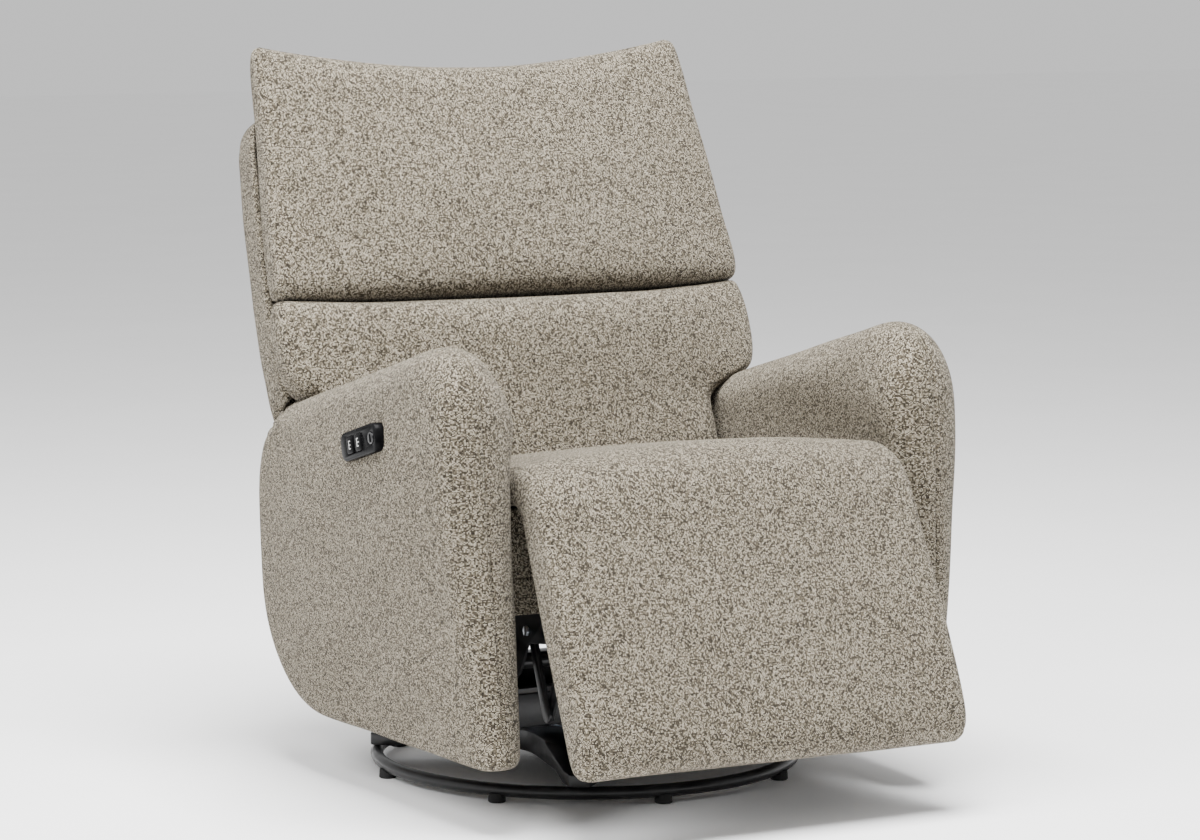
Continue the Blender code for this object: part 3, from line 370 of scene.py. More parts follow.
def upholstery(name, shade=1.0):
    """Heathered plain weave: thick uneven yarns of oat, taupe and umber, with painted shade darkening the
    valleys between the yarns.
    """
    mat, tree, shader, coords = new_material(name)
    per_yarn = scaled(tree, coords.outputs["UV"], (1 / YARN, 1 / YARN, 1.0))
    split = tree.nodes.new("ShaderNodeSeparateXYZ")
    link(tree, per_yarn, split.inputs[0])
    wander_u = noise_node(tree, per_yarn, 0.30, 1.0)
    turned = scaled(tree, per_yarn, (-1.0, 1.3, 1.0))
    wander_v = noise_node(tree, turned, 0.30, 1.0)
    u = math_node(tree, "MULTIPLY_ADD", wander_u, 0.6, split.outputs[0])
    v = math_node(tree, "MULTIPLY_ADD", wander_v, 0.6, split.outputs[1])
    across = math_node(tree, "ABSOLUTE", math_node(tree, "SINE", math_node(tree, "MULTIPLY", u, pi)))
    along = math_node(tree, "ABSOLUTE", math_node(tree, "SINE", math_node(tree, "MULTIPLY", v, pi)))
    cells = math_node(tree, "ADD", math_node(tree, "FLOOR", u), math_node(tree, "FLOOR", v))
    over = math_node(tree, "ABSOLUTE", math_node(tree, "MODULO", cells, 2.0))
    warp = math_node(tree, "MULTIPLY", across, math_node(tree, "MULTIPLY_ADD", along, 0.45, 0.55))
    weft = math_node(tree, "MULTIPLY", along, math_node(tree, "MULTIPLY_ADD", across, 0.45, 0.55))
    relief = mix_value(tree, over, warp, weft)

    tone = mix_value(tree, 0.20, random_node(tree, u, v), over)
    slub_u = noise_node(tree, scaled(tree, per_yarn, (1.0, 0.08, 1.0)), 0.9, 1.0)
    slub_v = noise_node(tree, scaled(tree, per_yarn, (0.08, 1.0, 1.0)), 0.9, 1.0)
    strand = mix_value(tree, over, slub_u, slub_v)
    tone = mix_value(tree, 0.16, tone, strand)
    s = shade
    yarns = ramp_node(tree, tone, (
        (0.20, (0.045 * s, 0.032 * s, 0.017 * s)),
        (0.35, (0.150 * s, 0.118 * s, 0.074 * s)),
        (0.48, (0.370 * s, 0.310 * s, 0.212 * s)),
        (0.60, (0.730 * s, 0.630 * s, 0.460 * s)),
        (0.76, (1.450 * s, 1.300 * s, 1.020 * s))))
    # painted shade: the colour is multiplied darker where the weave's relief dips, standing in for shade
    # between the yarns
    painted_valley_shade = ramp_node(tree, relief, ((0.0, (0.24, 0.22, 0.19)), (0.62, (1.0, 1.0, 1.0))))
    colour = mix_colour(tree, 1.0, yarns, painted_valley_shade, "MULTIPLY")
    patch = noise_node(tree, coords.outputs["Object"], 5.0, 2.0)
    wear = ramp_node(tree, patch, ((0.3, (0.95, 0.945, 0.94)), (0.7, (1.0, 1.0, 1.0))))
    colour = mix_colour(tree, 1.0, colour, wear, "MULTIPLY")
    link(tree, colour, shader.inputs["Base Color"])
    fuzz = noise_node(tree, per_yarn, 2.6, 2.0)
    height = math_node(tree, "MULTIPLY_ADD", fuzz, 0.35, relief)
    link(tree, bump_node(tree, height, 0.0009, 0.8), shader.inputs["Normal"])
    shader.inputs["Roughness"].default_value = 0.95
    shader.inputs["Specular IOR Level"].default_value = 0.2
    shader.inputs["Sheen Weight"].default_value = 0.10
    shader.inputs["Sheen Roughness"].default_value = 0.5
    shader.inputs["Sheen Tint"].default_value = (0.85, 0.80, 0.72, 1.0)
    return mat


def enamel(name, base=(0.0045, 0.0045, 0.005), rough=0.30, grain=260.0, lift=0.0002):
    """Black stoved enamel with orange peel and dust."""
    mat, tree, shader, coords = new_material(name)
    place = coords.outputs["Object"]
    peel = noise_node(tree, place, grain, 2.0)
    dust = noise_node(tree, place, 24.0, 4.0, 0.65)
    tint = tuple(min(1.0, c * 2.6 + 0.006) for c in base)
    link(tree, ramp_node(tree, dust, ((0.42, base), (0.80, tint))), shader.inputs["Base Color"])
    patchy = ramp_node(tree, dust, ((0.30, (rough,) * 3), (0.75, (rough + 0.20,) * 3)))
    link(tree, patchy, shader.inputs["Roughness"])
    link(tree, bump_node(tree, peel, lift, 0.35), shader.inputs["Normal"])
    shader.inputs["Specular IOR Level"].default_value = 0.35
    shader.inputs["Coat Weight"].default_value = 0.12
    shader.inputs["Coat Roughness"].default_value = 0.15
    return mat


def moulded(name, base, rough, grain=900.0, lift=0.00006, gloss=0.25):
    """Moulded plastic with a fine spark-eroded grain."""
    mat, tree, shader, coords = new_material(name)
    place = coords.outputs["Object"]
    grains = noise_node(tree, place, grain, 2.0)
    smear = noise_node(tree, place, 40.0, 3.0)
    lighter = tuple(min(1.0, c * 1.6 + 0.004) for c in base)
    link(tree, ramp_node(tree, smear, ((0.35, base), (0.75, lighter))), shader.inputs["Base Color"])
    patchy = ramp_node(tree, smear, ((0.3, (rough,) * 3), (0.8, (rough + 0.12,) * 3)))
    link(tree, patchy, shader.inputs["Roughness"])
    link(tree, bump_node(tree, grains, lift, 0.5), shader.inputs["Normal"])
    shader.inputs["Specular IOR Level"].default_value = gloss
    return mat


def plated(name, base=(0.55, 0.56, 0.58)):
    """Zinc-plated steel with a brushed, slightly blue haze."""
    mat, tree, shader, coords = new_material(name)
    place = coords.outputs["Object"]
    brushed = noise_node(tree, scaled(tree, place, (1.0, 12.0, 12.0)), 90.0, 3.0)
    haze = noise_node(tree, place, 30.0, 2.0)
    blue = (base[0] * 0.72, base[1] * 0.82, base[2] * 1.0)
    link(tree, ramp_node(tree, haze, ((0.35, base), (0.7, blue))), shader.inputs["Base Color"])
    link(tree, ramp_node(tree, brushed, ((0.3, (0.22,) * 3), (0.7, (0.42,) * 3))), shader.inputs["Roughness"])
    link(tree, bump_node(tree, brushed, 0.0001, 0.3), shader.inputs["Normal"])
    shader.inputs["Metallic"].default_value = 0.95
    return mat


def timber(name):
    """Unfinished frame wood with long grain."""
    mat, tree, shader, coords = new_material(name)
    along = scaled(tree, coords.outputs["Object"], (1.5, 14.0, 14.0))
    grain = noise_node(tree, along, 6.0, 5.0, 0.6)
    stops = ((0.32, (0.30, 0.185, 0.095)), (0.5, (0.47, 0.32, 0.18)), (0.68, (0.62, 0.46, 0.28)))
    link(tree, ramp_node(tree, grain, stops), shader.inputs["Base Color"])
    link(tree, bump_node(tree, grain, 0.0004, 0.4), shader.inputs["Normal"])
    shader.inputs["Roughness"].default_value = 0.72
    return mat


def lining(name, base=(0.018, 0.018, 0.019)):
    """Thin black spun cloth under the seat."""
    mat, tree, shader, coords = new_material(name)
    place = coords.outputs["Object"]
    fibre = noise_node(tree, place, 420.0, 3.0, 0.7)
    pale = tuple(c * 2.4 + 0.01 for c in base)
    link(tree, ramp_node(tree, fibre, ((0.4, base), (0.7, pale))), shader.inputs["Base Color"])
    link(tree, bump_node(tree, fibre, 0.0003, 0.6), shader.inputs["Normal"])
    shader.inputs["Roughness"].default_value = 0.95
    return mat


CLOTH = upholstery("heathered_taupe_weave", 0.285)
ENAMEL = enamel("black_enamel")
RUBBER = moulded("foot_rubber", (0.012, 0.012, 0.012), 0.68, 300.0, 0.0003)
PLASTIC = moulded("switch_plastic", (0.002, 0.002, 0.0022), 0.20, gloss=0.04)
GLOSS = moulded("port_gloss_plastic", (0.003, 0.003, 0.0035), 0.08, 500.0, 0.00001, 0.5)
HOUSING = moulded("motor_plastic", (0.020, 0.020, 0.021), 0.48, 500.0, 0.0001)
ZINC = plated("zinc_plate")
TIMBER = timber("frame_timber")
LINING = lining("deck_lining")
MARK = moulded("pale_mark", (0.42, 0.42, 0.41), 0.5)


def finish_cloth(obj, body, *nodes, fill=0.75):
    weave_uv(obj)
    paint(obj, CLOTH)
    settle(obj, body, *nodes)
    return obj


# ------------------------------------------------------------------ one-piece seat, knee and footrest pad
def seat_rings():
    """The seat, from its rear edge to the knee; its rear end leans back with the back pad."""
    rings = []
    steps = 16
    for k in range(steps + 1):
        share = 1 - k / steps
        y = KNEE[0] + (SEAT_REAR_Y - KNEE[0]) * share
        z = KNEE[1] - tan(SEAT_FALL) * (y - KNEE[0])
        tilt = BACK_LEAN * max(0.0, share - 0.25) / 0.75
        place = frame_of((y, z), (0, 0), (sin(tilt), cos(tilt)))
        under = PAD_BACK / cos(tilt - SEAT_FALL) + TUCK_GAP
        full = 1 - 0.25 * share ** 3
        drop = 0.010 * max(0.0, (share - 0.93) / 0.07)
        rings.append(pad_section(place, 0, PAD_X - 0.0055 * share, under, SEAT_TOP + 0.003 * share - drop,
                                 0.0160 * full, 0.032, 0.006, bow=0.002))
    return rings


def knee_rings():
    """The turn over the knee, fanned about the footrest's hinge."""
    rings = []
    steps = 9
    for k in range(1, steps):
        share = k / steps
        angle = (pi / 2 - FOOT_SLOPE) * share
        place = frame_of(KNEE, (0, 0), (-sin(angle), cos(angle)))
        rings.append(pad_section(place, 0, PAD_X, PAD_BACK + 0.001, SEAT_TOP + 0.0085 * share,
                                 0.016 - 0.006 * share, 0.032 - 0.006 * share, 0.006, bow=0.002))
    return rings


def footrest_rings():
    """The footrest, from the knee to its rolled lower edge."""
    rings = []
    place = frame_of(KNEE, (-sin(FOOT_SLOPE), -cos(FOOT_SLOPE)), (-cos(FOOT_SLOPE), sin(FOOT_SLOPE)))
    # share of the length, drawn-in edge, front set back, back set in
    for share, narrow, face_in, back_in in (
            (0, 0, 0, 0), (0.07, 0, 0, 0), (0.15, 0, 0, 0), (0.25, 0, 0, 0), (0.35, 0, 0, 0), (0.45, 0, 0, 0),
            (0.55, 0, 0.001, 0), (0.65, 0, 0.002, 0), (0.75, 0, 0.003, 0), (0.84, 0, 0.005, 0),
            (0.90, 0, 0.008, 0), (0.935, 0.001, 0.011, 0.001), (0.957, 0.002, 0.015, 0.002),
            (0.966, 0.0045, 0.0185, 0.004), (0.975, 0.004, 0.020, 0.005), (0.988, 0.009, 0.028, 0.009),
            (1.0, 0.019, 0.040, 0.016)):
        half = PAD_X + 0.0065 * share - narrow
        rings.append(pad_section(place, FOOT_L * share, half, PAD_BACK + back_in, FOOT_TOP - face_in,
                                 0.010 * (1 - 0.45 * share), 0.024, 0.006, bow=0.002))
    return rings


def chaise_pad():
    """One pad over the seat, the knee and the footrest, with its turn over the knee drawn about the
    footrest's hinge.
    """
    pad = skin("chaise_pad", seat_rings() + knee_rings() + footrest_rings(), folded=True)
    smooth_skin(pad, 1)
    ripple(pad, 0.0016, 0.11, 3.1)
    weave_uv(pad)
    paint(pad, CLOTH)
    only(pad)
    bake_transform(pad)
    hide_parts("seat_cushion", "knee_fold", "footrest_pad")


# ------------------------------------------------------------------ arms
def rounded(corners, steps=5):
    out = []
    count = len(corners)
    for i, (a, b, r) in enumerate(corners):
        here = Vector((a, b))
        back = (Vector(corners[i - 1][:2]) - here).normalized()
        ahead = (Vector(corners[(i + 1) % count][:2]) - here).normalized()
        half = back.angle(ahead) / 2
        centre = here + (back + ahead).normalized() * (r / sin(half))
        first = here + back * (r / tan(half)) - centre
        last = here + ahead * (r / tan(half)) - centre
        turn = atan2(first.x * last.y - first.y * last.x, first.dot(last))
        start = atan2(first.y, first.x)
        for k in range(steps + 1):
            angle = start + turn * k / steps
            out.append(Vector((centre.x + r * cos(angle), centre.y + r * sin(angle))))
    return out


def arm_point(across, y, z, bulge=0.0):
    """A point of an arm's cover: the outer side leans in towards the floor, most of all in front."""
    fore = max(0.0, min(1.0, (ARM_REAR_Y - y) / (ARM_REAR_Y - ARM_FRONT_Y)))
    drop = max(0.0, ARM_TUCK_Z + 0.03 - z)
    drop = drop * drop / (drop + 0.05)
    lean = ARM_TUCK * drop * (0.25 + 0.75 * fore)
    side = across / ARM_HALF
    share = 0.35 + 0.65 * side if side > 0 else 0.35 * (1 + side)
    return (ARM_X + across + bulge - lean * share, y, z)


def arm_outline(across, seam=0.0):
    """Side outline of an arm at a distance from its mid plane, with each run's outward normals."""
    def inset(r):
        past = min(r, max(0.0, abs(across) - (ARM_HALF - r)))
        return r - sqrt(max(0.0, r * r - past * past))
    front, top, rear, sole = inset(0.054), inset(0.0555), inset(0.042), inset(0.020)
    face = ARM_FRONT_Y + front
    level = ARM_LEVEL - top * sqrt(1 + ARM_RISE ** 2)
    nose_y = (face - SWIVEL_Y + ARM_RAKE * (level - ARM_BOTTOM_Z)) / (1 + ARM_RAKE * ARM_RISE)
    nose_z = level - ARM_RISE * nose_y
    back_y = ARM_REAR_Y - rear
    back_z = level - ARM_RISE * (back_y - SWIVEL_Y)
    low = ARM_BOTTOM_Z + sole
    corners = [(face, low, 0.024 - 0.25 * front), (back_y, low, 0.180 - 0.4 * rear),
               (back_y, back_z, 0.124 - 0.4 * rear), (nose_y + SWIVEL_Y, nose_z, 0.097 - 0.55 * top)]
    arcs = rounded(corners, 9)
    out = []
    for corner, runs in enumerate((14, 8, 16, 16)):
        arc = arcs[corner * 10:corner * 10 + 10]
        following = arcs[(corner * 10 + 10) % 40]
        out.extend(arc)
        out.extend(arc[-1].lerp(following, k / runs) for k in range(1, runs))
    if seam:
        sunk = []
        for k, p in enumerate(out):
            along = (out[(k + 1) % len(out)] - out[k - 1]).normalized()
            normal = Vector((along.y, -along.x))
            share = max(0.0, min(1.0, (-normal.x - 0.25) / 0.45))
            share = share * share * (3 - 2 * share)
            if p.y < ARM_BOTTOM_Z + 0.03 or normal.y < -0.5:
                share = 0.0
            sunk.append(p - normal * (seam * share))
        out = sunk
    return out


def arm(side, sign):
    """An arm: outlines from its inner to its outer side, closed by layers that swell on the outer side."""
    rings = []
    half_turn = (1.6, 5, 12, 22, 34, 46, 58, 70, 80, 90)
    for degree in (*(-d for d in reversed(half_turn)), 0, *half_turn):
        across = ARM_HALF * sin(radians(degree))
        outline = arm_outline(across, 0.0050 if degree == 0 else 0.0)
        ring = []
        for p in outline:
            x, y, z = arm_point(across, p.x, p.y)
            ring.append(Vector((sign * x, y, z)))
        rings.append(ring)
    centre = Vector(((ARM_FRONT_Y + ARM_REAR_Y) / 2, 0.33))
    for target, across, bulge in ((0, -ARM_HALF, 0.0), (-1, ARM_HALF, ARM_BULGE)):
        edge = rings[target]
        layers = []
        for scale in (0.88, 0.74, 0.58, 0.42, 0.28):
            layer = []
            for v in edge:
                y = centre.x + (v.y - centre.x) * scale
                z = centre.y + (v.z - centre.y) * scale
                x, y, z = arm_point(across, y, z, bulge * (1 - scale ** 2) / 0.92)
                layer.append(Vector((sign * x, y, z)))
            layers.append(layer)
        if target == 0:
            rings = list(reversed(layers)) + rings
        else:
            rings = rings + layers
    piece = skin(f"arm_pad_{side}", rings)
    smooth_skin(piece, 1)
    pull_folds(piece)
    lean_in(piece, sign)
    ripple(piece, 0.0020, 0.13, 5.0 if sign > 0 else 9.0)
    return piece


def lean_in(piece, sign):
    """The inner side swells a little over the seat pad."""
    for v in piece.data.vertices:
        inner = max(0.0, min(1.0, (ARM_X - abs(v.co.x)) / ARM_HALF))
        high = max(0.0, 1 - abs(v.co.z - 0.545) / 0.075)
        fore = max(0.0, min(1.0, (0.02 + SWIVEL_Y - v.co.y) / 0.15))
        v.co.x -= sign * 0.009 * inner * high * high * (3 - 2 * high) * fore


def pull_folds(piece):
    """Slanting folds where the cover is drawn in towards the back corner."""
    corner = Vector((0.205 + SWIVEL_Y, 0.500))
    spread_r = 0.17
    for v in piece.data.vertices:
        offset = Vector((v.co.y, v.co.z)) - corner
        reach = offset.length
        if reach > spread_r:
            continue
        fade = (1 - reach / spread_r) ** 2
        angle = atan2(offset.y, -offset.x)
        wave = sin(angle * 9.0 + 0.6) + 0.5 * sin(angle * 17.0)
        v.co += v.normal * (0.0022 * fade * wave)


# ------------------------------------------------------------------ back
BACK_UP = (sin(BACK_LEAN), cos(BACK_LEAN))
BACK_OUT = (-cos(BACK_LEAN), sin(BACK_LEAN))
back_place = frame_of(BACK_FOOT, BACK_UP, BACK_OUT)


def spread(stations, count):
    """Smooth in-between stations along a pad."""
    out = []
    last = len(stations) - 1
    for i in range(last):
        steps = max(1, round((stations[i + 1][0] - stations[i][0]) / count))
        p0 = stations[max(0, i - 1)]
        p1, p2 = stations[i], stations[i + 1]
        p3 = stations[min(last, i + 2)]
        for k in range(steps):
            f = k / steps
            row = [p1[0] + (p2[0] - p1[0]) * f]
            for j in range(1, len(p1)):
                span = p2[0] - p1[0]
                m1 = (p2[j] - p0[j]) / max(1e-6, p2[0] - p0[0]) * span
                m2 = (p3[j] - p1[j]) / max(1e-6, p3[0] - p1[0]) * span
                h0 = 2 * f ** 3 - 3 * f ** 2 + 1
                h1 = f ** 3 - 2 * f ** 2 + f
                h2 = -2 * f ** 3 + 3 * f ** 2
                h3 = f ** 3 - f ** 2
                row.append(h0 * p1[j] + h1 * m1 + h2 * p2[j] + h3 * m2)
            out.append(row)
    out.append(list(stations[-1]))
    return out


def lower_pad():
    """The lower back pad: narrow between the arms, then over them, full towards the sitter."""
    top = TUCK_S - TUCK_GAP
    rear = BACK_REAR
    bow = TUCK_BOW
    # height up the back, half width, rear, front, crown, sag of the section in the middle
    stations = spread((
        (-0.045, 0.281, rear + 0.010, 0.018, 0.006, 0), (-0.033, 0.285, rear, 0.026, 0.010, 0),
        (0.02, 0.287, rear, 0.026, 0.014, 0), (0.066, 0.290, rear, 0.021, 0.020, 0),
        (0.080, 0.306, rear, 0.019, 0.023, 0), (0.092, 0.336, rear, 0.017, 0.025, 0),
        (0.102, 0.361, rear, 0.015, 0.027, 0), (0.112, 0.3745, rear, 0.014, 0.029, 0),
        (0.126, 0.3805, rear, 0.013, 0.031, 0.001),
        (0.150, 0.3865, rear, 0.010, 0.034, 0.004), (0.185, 0.3885, rear, 0.008, 0.036, 0.009),
        (0.212, 0.3880, rear, 0.005, 0.035, 0.013), (0.232, 0.3855, rear, 0.001, 0.031, 0.015),
        (0.2430, 0.382, rear + 0.001, -0.004, 0.024, bow), (0.2478, 0.379, rear + 0.003, -0.010, 0.017, bow),
        (top, 0.373, rear + 0.008, -0.020, 0.009, bow)), 0.014)
    rings = [pad_section(back_place, s, half, back, front, max(0.0, crown), 0.030, 0.012, dip, power=3.5)
             for s, half, back, front, crown, dip in stations]
    pad = skin("lower_back_pad", rings, folded=True)
    smooth_skin(pad, 1)
    ripple(pad, 0.0022, 0.12, 1.7)
    tuck_folds(pad, -1)
    finish_cloth(pad, "back", "lumbar_pad", fill=0.85)


def head_pad():
    """The head pad: a soft fold below, a hollowed top edge with two raised corners."""
    foot = TUCK_S + TUCK_GAP
    end = HEAD_TOP
    rear = BACK_REAR
    bow = TUCK_BOW
    # height up the back, half width, rear, front, crown, sag of the section in the middle
    stations = spread((
        (foot, 0.371, rear + 0.008, -0.020, 0.009, bow),
        (foot + 0.0025, 0.3780, rear + 0.003, -0.008, 0.018, bow),
        (foot + 0.008, 0.3805, rear, 0.001, 0.024, bow), (foot + 0.020, 0.3805, rear, 0.006, 0.028, 0.014),
        (foot + 0.040, 0.380, rear, 0.007, 0.029, 0.011), (0.34, 0.376, rear, 0.004, 0.029, 0.006),
        (0.43, 0.368, rear, 0.002, 0.024, 0.004), (0.51, 0.360, rear, 0.000, 0.017, 0.014),
        (end - 0.055, 0.3560, rear, -0.003, 0.011, 0.026),
        (end - 0.022, 0.353, rear + 0.001, -0.008, 0.007, 0.034),
        (end - 0.008, 0.3505, rear + 0.004, -0.013, 0.004, 0.037),
        (end - 0.002, 0.346, rear + 0.009, -0.020, 0.002, 0.038),
        (end, 0.341, rear + 0.015, -0.0265, 0.0008, 0.038),
        (end + 0.0005, 0.336, rear + 0.0182, -0.0262, 0.0, 0.038)), 0.018)
    rings = [pad_section(back_place, s, half, back, front, max(0.0, crown), 0.022, 0.010, dip,
                         power=2.0 if s > 0.36 else 3.5 - 1.5 * max(0.0, s - 0.29) / 0.07)
             for s, half, back, front, crown, dip in stations]
    pad = skin("head_rest_pad", rings, folded=True)
    smooth_skin(pad, 1)
    ripple(pad, 0.0018, 0.14, 7.3)
    tuck_folds(pad, 1)
    finish_cloth(pad, "head", "head_pad", fill=0.8)


def tuck_folds(piece, way):
    """Short gathers running out of the tuck between the two back pads."""
    for v in piece.data.vertices:
        s = (v.co.y - BACK_FOOT[0]) * BACK_UP[0] + (v.co.z - BACK_FOOT[1]) * BACK_UP[1]
        away = (s - TUCK_S + TUCK_BOW * (1 - abs(v.co.x / 0.375) ** 3.5)) * way
        if away < 0.002 or away > 0.10:
            continue
        face = max(0.0, v.normal.y * BACK_OUT[0] + v.normal.z * BACK_OUT[1])
        fade = min(1.0, (away - 0.002) / 0.02) * (1 - away / 0.10) ** 2
        wave = noise.noise(Vector((v.co.x / 0.045, s / 0.16, 3.0 * way)))
        v.co += v.normal * (0.0045 * wave * fade * face)


def merged_copy(node, name):
    """A free copy of a CAD node's solid with its corners merged and no map."""
    obj = NODES[node].copy()
    obj.data = NODES[node].data.copy()
    obj.name = name
    obj.parent = None
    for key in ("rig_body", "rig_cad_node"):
        if key in obj:
            del obj[key]
    bpy.context.scene.collection.objects.link(obj)
    for layer in [a.name for a in obj.data.uv_layers]:
        obj.data.uv_layers.remove(obj.data.uv_layers[layer])
    bm = bmesh.new()
    bm.from_mesh(obj.data)
    bmesh.ops.remove_doubles(bm, verts=bm.verts, dist=1e-6)
    bm.to_mesh(obj.data)
    bm.free()
    return obj


def remade(node, name, voxel, smooth):
    """A softened copy of a CAD node's solid."""
    obj = merged_copy(node, name)
    mod = obj.modifiers.new("Remesh", "REMESH")
    mod.mode = "VOXEL"
    mod.voxel_size = voxel
    mod = obj.modifiers.new("Smooth", "SMOOTH")
    mod.factor = 0.5
    mod.iterations = smooth
    apply_all(obj)
    only(obj)
    bpy.ops.object.shade_smooth()
    return obj


def back_shell():
    shell = remade("back_shell", "outer_back_cover", 0.0045, 10)
    ripple(shell, 0.0015, 0.15, 12.0)
    finish_cloth(shell, "back", "back_shell", fill=0.6)


def tray_shade_cloth():
    """Black dust cloth stretched over the timber ring inside the back, behind the head pad; its black is also
    painted shade for the dark cavity there.
    """
    low, high, half = 0.335, 0.510, 0.338
    rear, front = -0.0645, -0.0618
    steps = 10
    rings = [pad_section(back_place, low + (high - low) * k / steps, half, rear, front, 0.0, 0.0012, 0.0010,
                         seam=0.0) for k in range(steps + 1)]
    cloth = skin("back_tray_shade_cloth", rings, folded=True)
    only(cloth)
    bpy.ops.object.shade_smooth_by_angle(angle=radians(40))
    # painted shade: this black cloth stands in for the shade inside the cavity behind the head pad, besides
    # covering the timber
    paint(cloth, LINING)
    settle(cloth, "back")


def crisp(node, name, mat, bevel, segments=3, flat=0.02):
    """A copy of a CAD node with its flat faces joined and its edges rolled."""
    obj = merged_copy(node, name)
    bm = bmesh.new()
    bm.from_mesh(obj.data)
    bmesh.ops.dissolve_limit(bm, angle_limit=flat, verts=bm.verts, edges=bm.edges)
    bm.to_mesh(obj.data)
    bm.free()
    mod = obj.modifiers.new("Bevel", "BEVEL")
    mod.width = bevel
    mod.segments = segments
    mod.limit_method = "ANGLE"
    mod.angle_limit = radians(35)
    mod.harden_normals = False
    apply_all(obj)
    only(obj)
    bpy.ops.object.shade_smooth_by_angle(angle=radians(40))
    paint(obj, mat)
    settle(obj, frame_body(node), node)
    return obj


def frame_body(node):
    for body, members in frame["record"]["behaviour"]["bodies"].items():
        if node in members:
            return body


# ------------------------------------------------------------------ base and mechanism
def floor_ring():
    """The ring of round tube, finer than the frame's."""
    bpy.ops.object.select_all(action="DESELECT")
    bpy.ops.mesh.primitive_torus_add(location=(0, SWIVEL_Y, RING_Z), major_radius=RING_R,
                                     minor_radius=RING_TUBE_R, major_segments=180, minor_segments=20)
    ring = bpy.context.object
    ring.name = "floor_ring"
    bpy.ops.object.shade_smooth()
    paint(ring, ENAMEL)
    settle(ring, "base", "base_ring")


def bolt(name, spot, sign, radius, body, mat, height=0.0045):
    """A domed hexagon bolt head standing on a side plate."""
    bpy.ops.object.select_all(action="DESELECT")
    bpy.ops.mesh.primitive_cylinder_add(vertices=6, radius=radius, depth=height, end_fill_type="NGON",
                                        location=(spot[0] + sign * height / 2, spot[1], spot[2]),
                                        rotation=(0, pi / 2, 0))
    obj = bpy.context.object
    obj.name = name
    bpy.ops.object.transform_apply(location=True, rotation=True, scale=True)
    bpy.ops.object.mode_set(mode="EDIT")
    bpy.ops.mesh.select_all(action="SELECT")
    bpy.ops.mesh.bevel(offset=radius * 0.14, segments=2, affect="EDGES")
    bpy.ops.object.mode_set(mode="OBJECT")
    bpy.ops.object.shade_smooth_by_angle(angle=radians(35))
    paint(obj, mat)
    settle(obj, body)


def refinish(node, mat):
    """A CAD node that keeps its own shape gets its finish."""
    NODES[node].data.materials.clear()
    NODES[node].data.materials.append(mat)
    only(NODES[node])
    bpy.ops.object.shade_smooth_by_angle(angle=radians(35))


def mechanism():
    """Floor ring, cross, glider frame, links, boards, motor and feet."""
    floor_ring()
    for stem in ("glider_side", "seat_rail", "footrest_crank", "footrest_stay", "footrest_tie",
                 "recline_plate"):
        for side in ("left", "right"):
            crisp(f"{stem}_{side}", f"{stem}_{side}_steel", ENAMEL, 0.0007, 2)
    for end in ("front", "rear"):
        for side in ("left", "right"):
            crisp(f"swing_link_{end}_{side}", f"swing_link_{end}_{side}_steel", ENAMEL, 0.0007, 2)
        crisp(f"glider_beam_{end}", f"glider_beam_{end}_steel", ENAMEL, 0.0010, 2)
    crisp("base_cross", "base_cross_steel", ENAMEL, 0.0016, 3)
    crisp("bearing_upper", "bearing_upper_steel", ENAMEL, 0.0010, 2)
    for node, mat in (("bearing_lower", ZINC), ("cross_tube_front", ENAMEL), ("cross_tube_rear", ENAMEL),
                      ("seat_box", TIMBER), ("seat_deck", LINING), ("back_frame", TIMBER),
                      ("head_board", LINING), ("footrest_board", LINING), ("motor_housing", HOUSING),
                      ("actuator_spindle", ZINC), ("actuator_nut", HOUSING), ("power_inlet", PLASTIC),
                      ("head_hinge_rod", ZINC), ("head_arm_left", ZINC), ("head_arm_right", ZINC)):
        refinish(node, mat)
    for k in range(1, 9):
        refinish(f"foot_{k}", RUBBER)
    pivot_bolts()


def pivot_bolts():
    """Bolt heads on the rails and on the glider brackets."""
    for side, sign in (("left", 1), ("right", -1)):
        out = sign * RAIL_OUT_X
        bolt(f"stay_bolt_{side}", (out, *STAY_PIVOT), sign, 0.0075, "seat", ZINC)
        bolt(f"knee_bolt_{side}", (out, *KNEE), sign, 0.0065, "seat", ZINC)
        bolt(f"recline_bolt_{side}", (out, *RECLINE_PIVOT), sign, 0.0075, "seat", ZINC)
        for end, y in (("front", -GLIDE_Y), ("rear", GLIDE_Y)):
            bolt(f"hanger_bolt_{end}_{side}", (out, y + SWIVEL_Y, HANGER_Z), sign, 0.0070, "seat", ZINC)
            bolt(f"post_bolt_{end}_{side}", (sign * POST_IN_X, y + SWIVEL_Y, POST_Z), -sign, 0.0070,
                 "turntable", ZINC)


def slab(name, x0, x1, y0, y1, z0, z1, roll, cuts):
    """A padded panel: a box with rolled edges and rows across its height."""
    bpy.ops.object.select_all(action="DESELECT")
    bpy.ops.mesh.primitive_cube_add(size=1, location=((x0 + x1) / 2, (y0 + y1) / 2, (z0 + z1) / 2))
    obj = bpy.context.object
    obj.name = name
    obj.scale = (x1 - x0, y1 - y0, z1 - z0)
    bpy.ops.object.transform_apply(location=True, rotation=True, scale=True)
    bpy.ops.object.mode_set(mode="EDIT")
    bpy.ops.mesh.select_all(action="SELECT")
    bpy.ops.mesh.bevel(offset=roll, segments=3, affect="EDGES")
    bpy.ops.object.mode_set(mode="OBJECT")
    bm = bmesh.new()
    bm.from_mesh(obj.data)
    for height in cuts:
        geometry = bm.verts[:] + bm.edges[:] + bm.faces[:]
        bmesh.ops.bisect_plane(bm, geom=geometry, plane_co=(0, 0, height), plane_no=(0, 0, 1))
    bm.to_mesh(obj.data)
    bm.free()
    bpy.ops.object.shade_smooth_by_angle(angle=radians(50))
    return obj


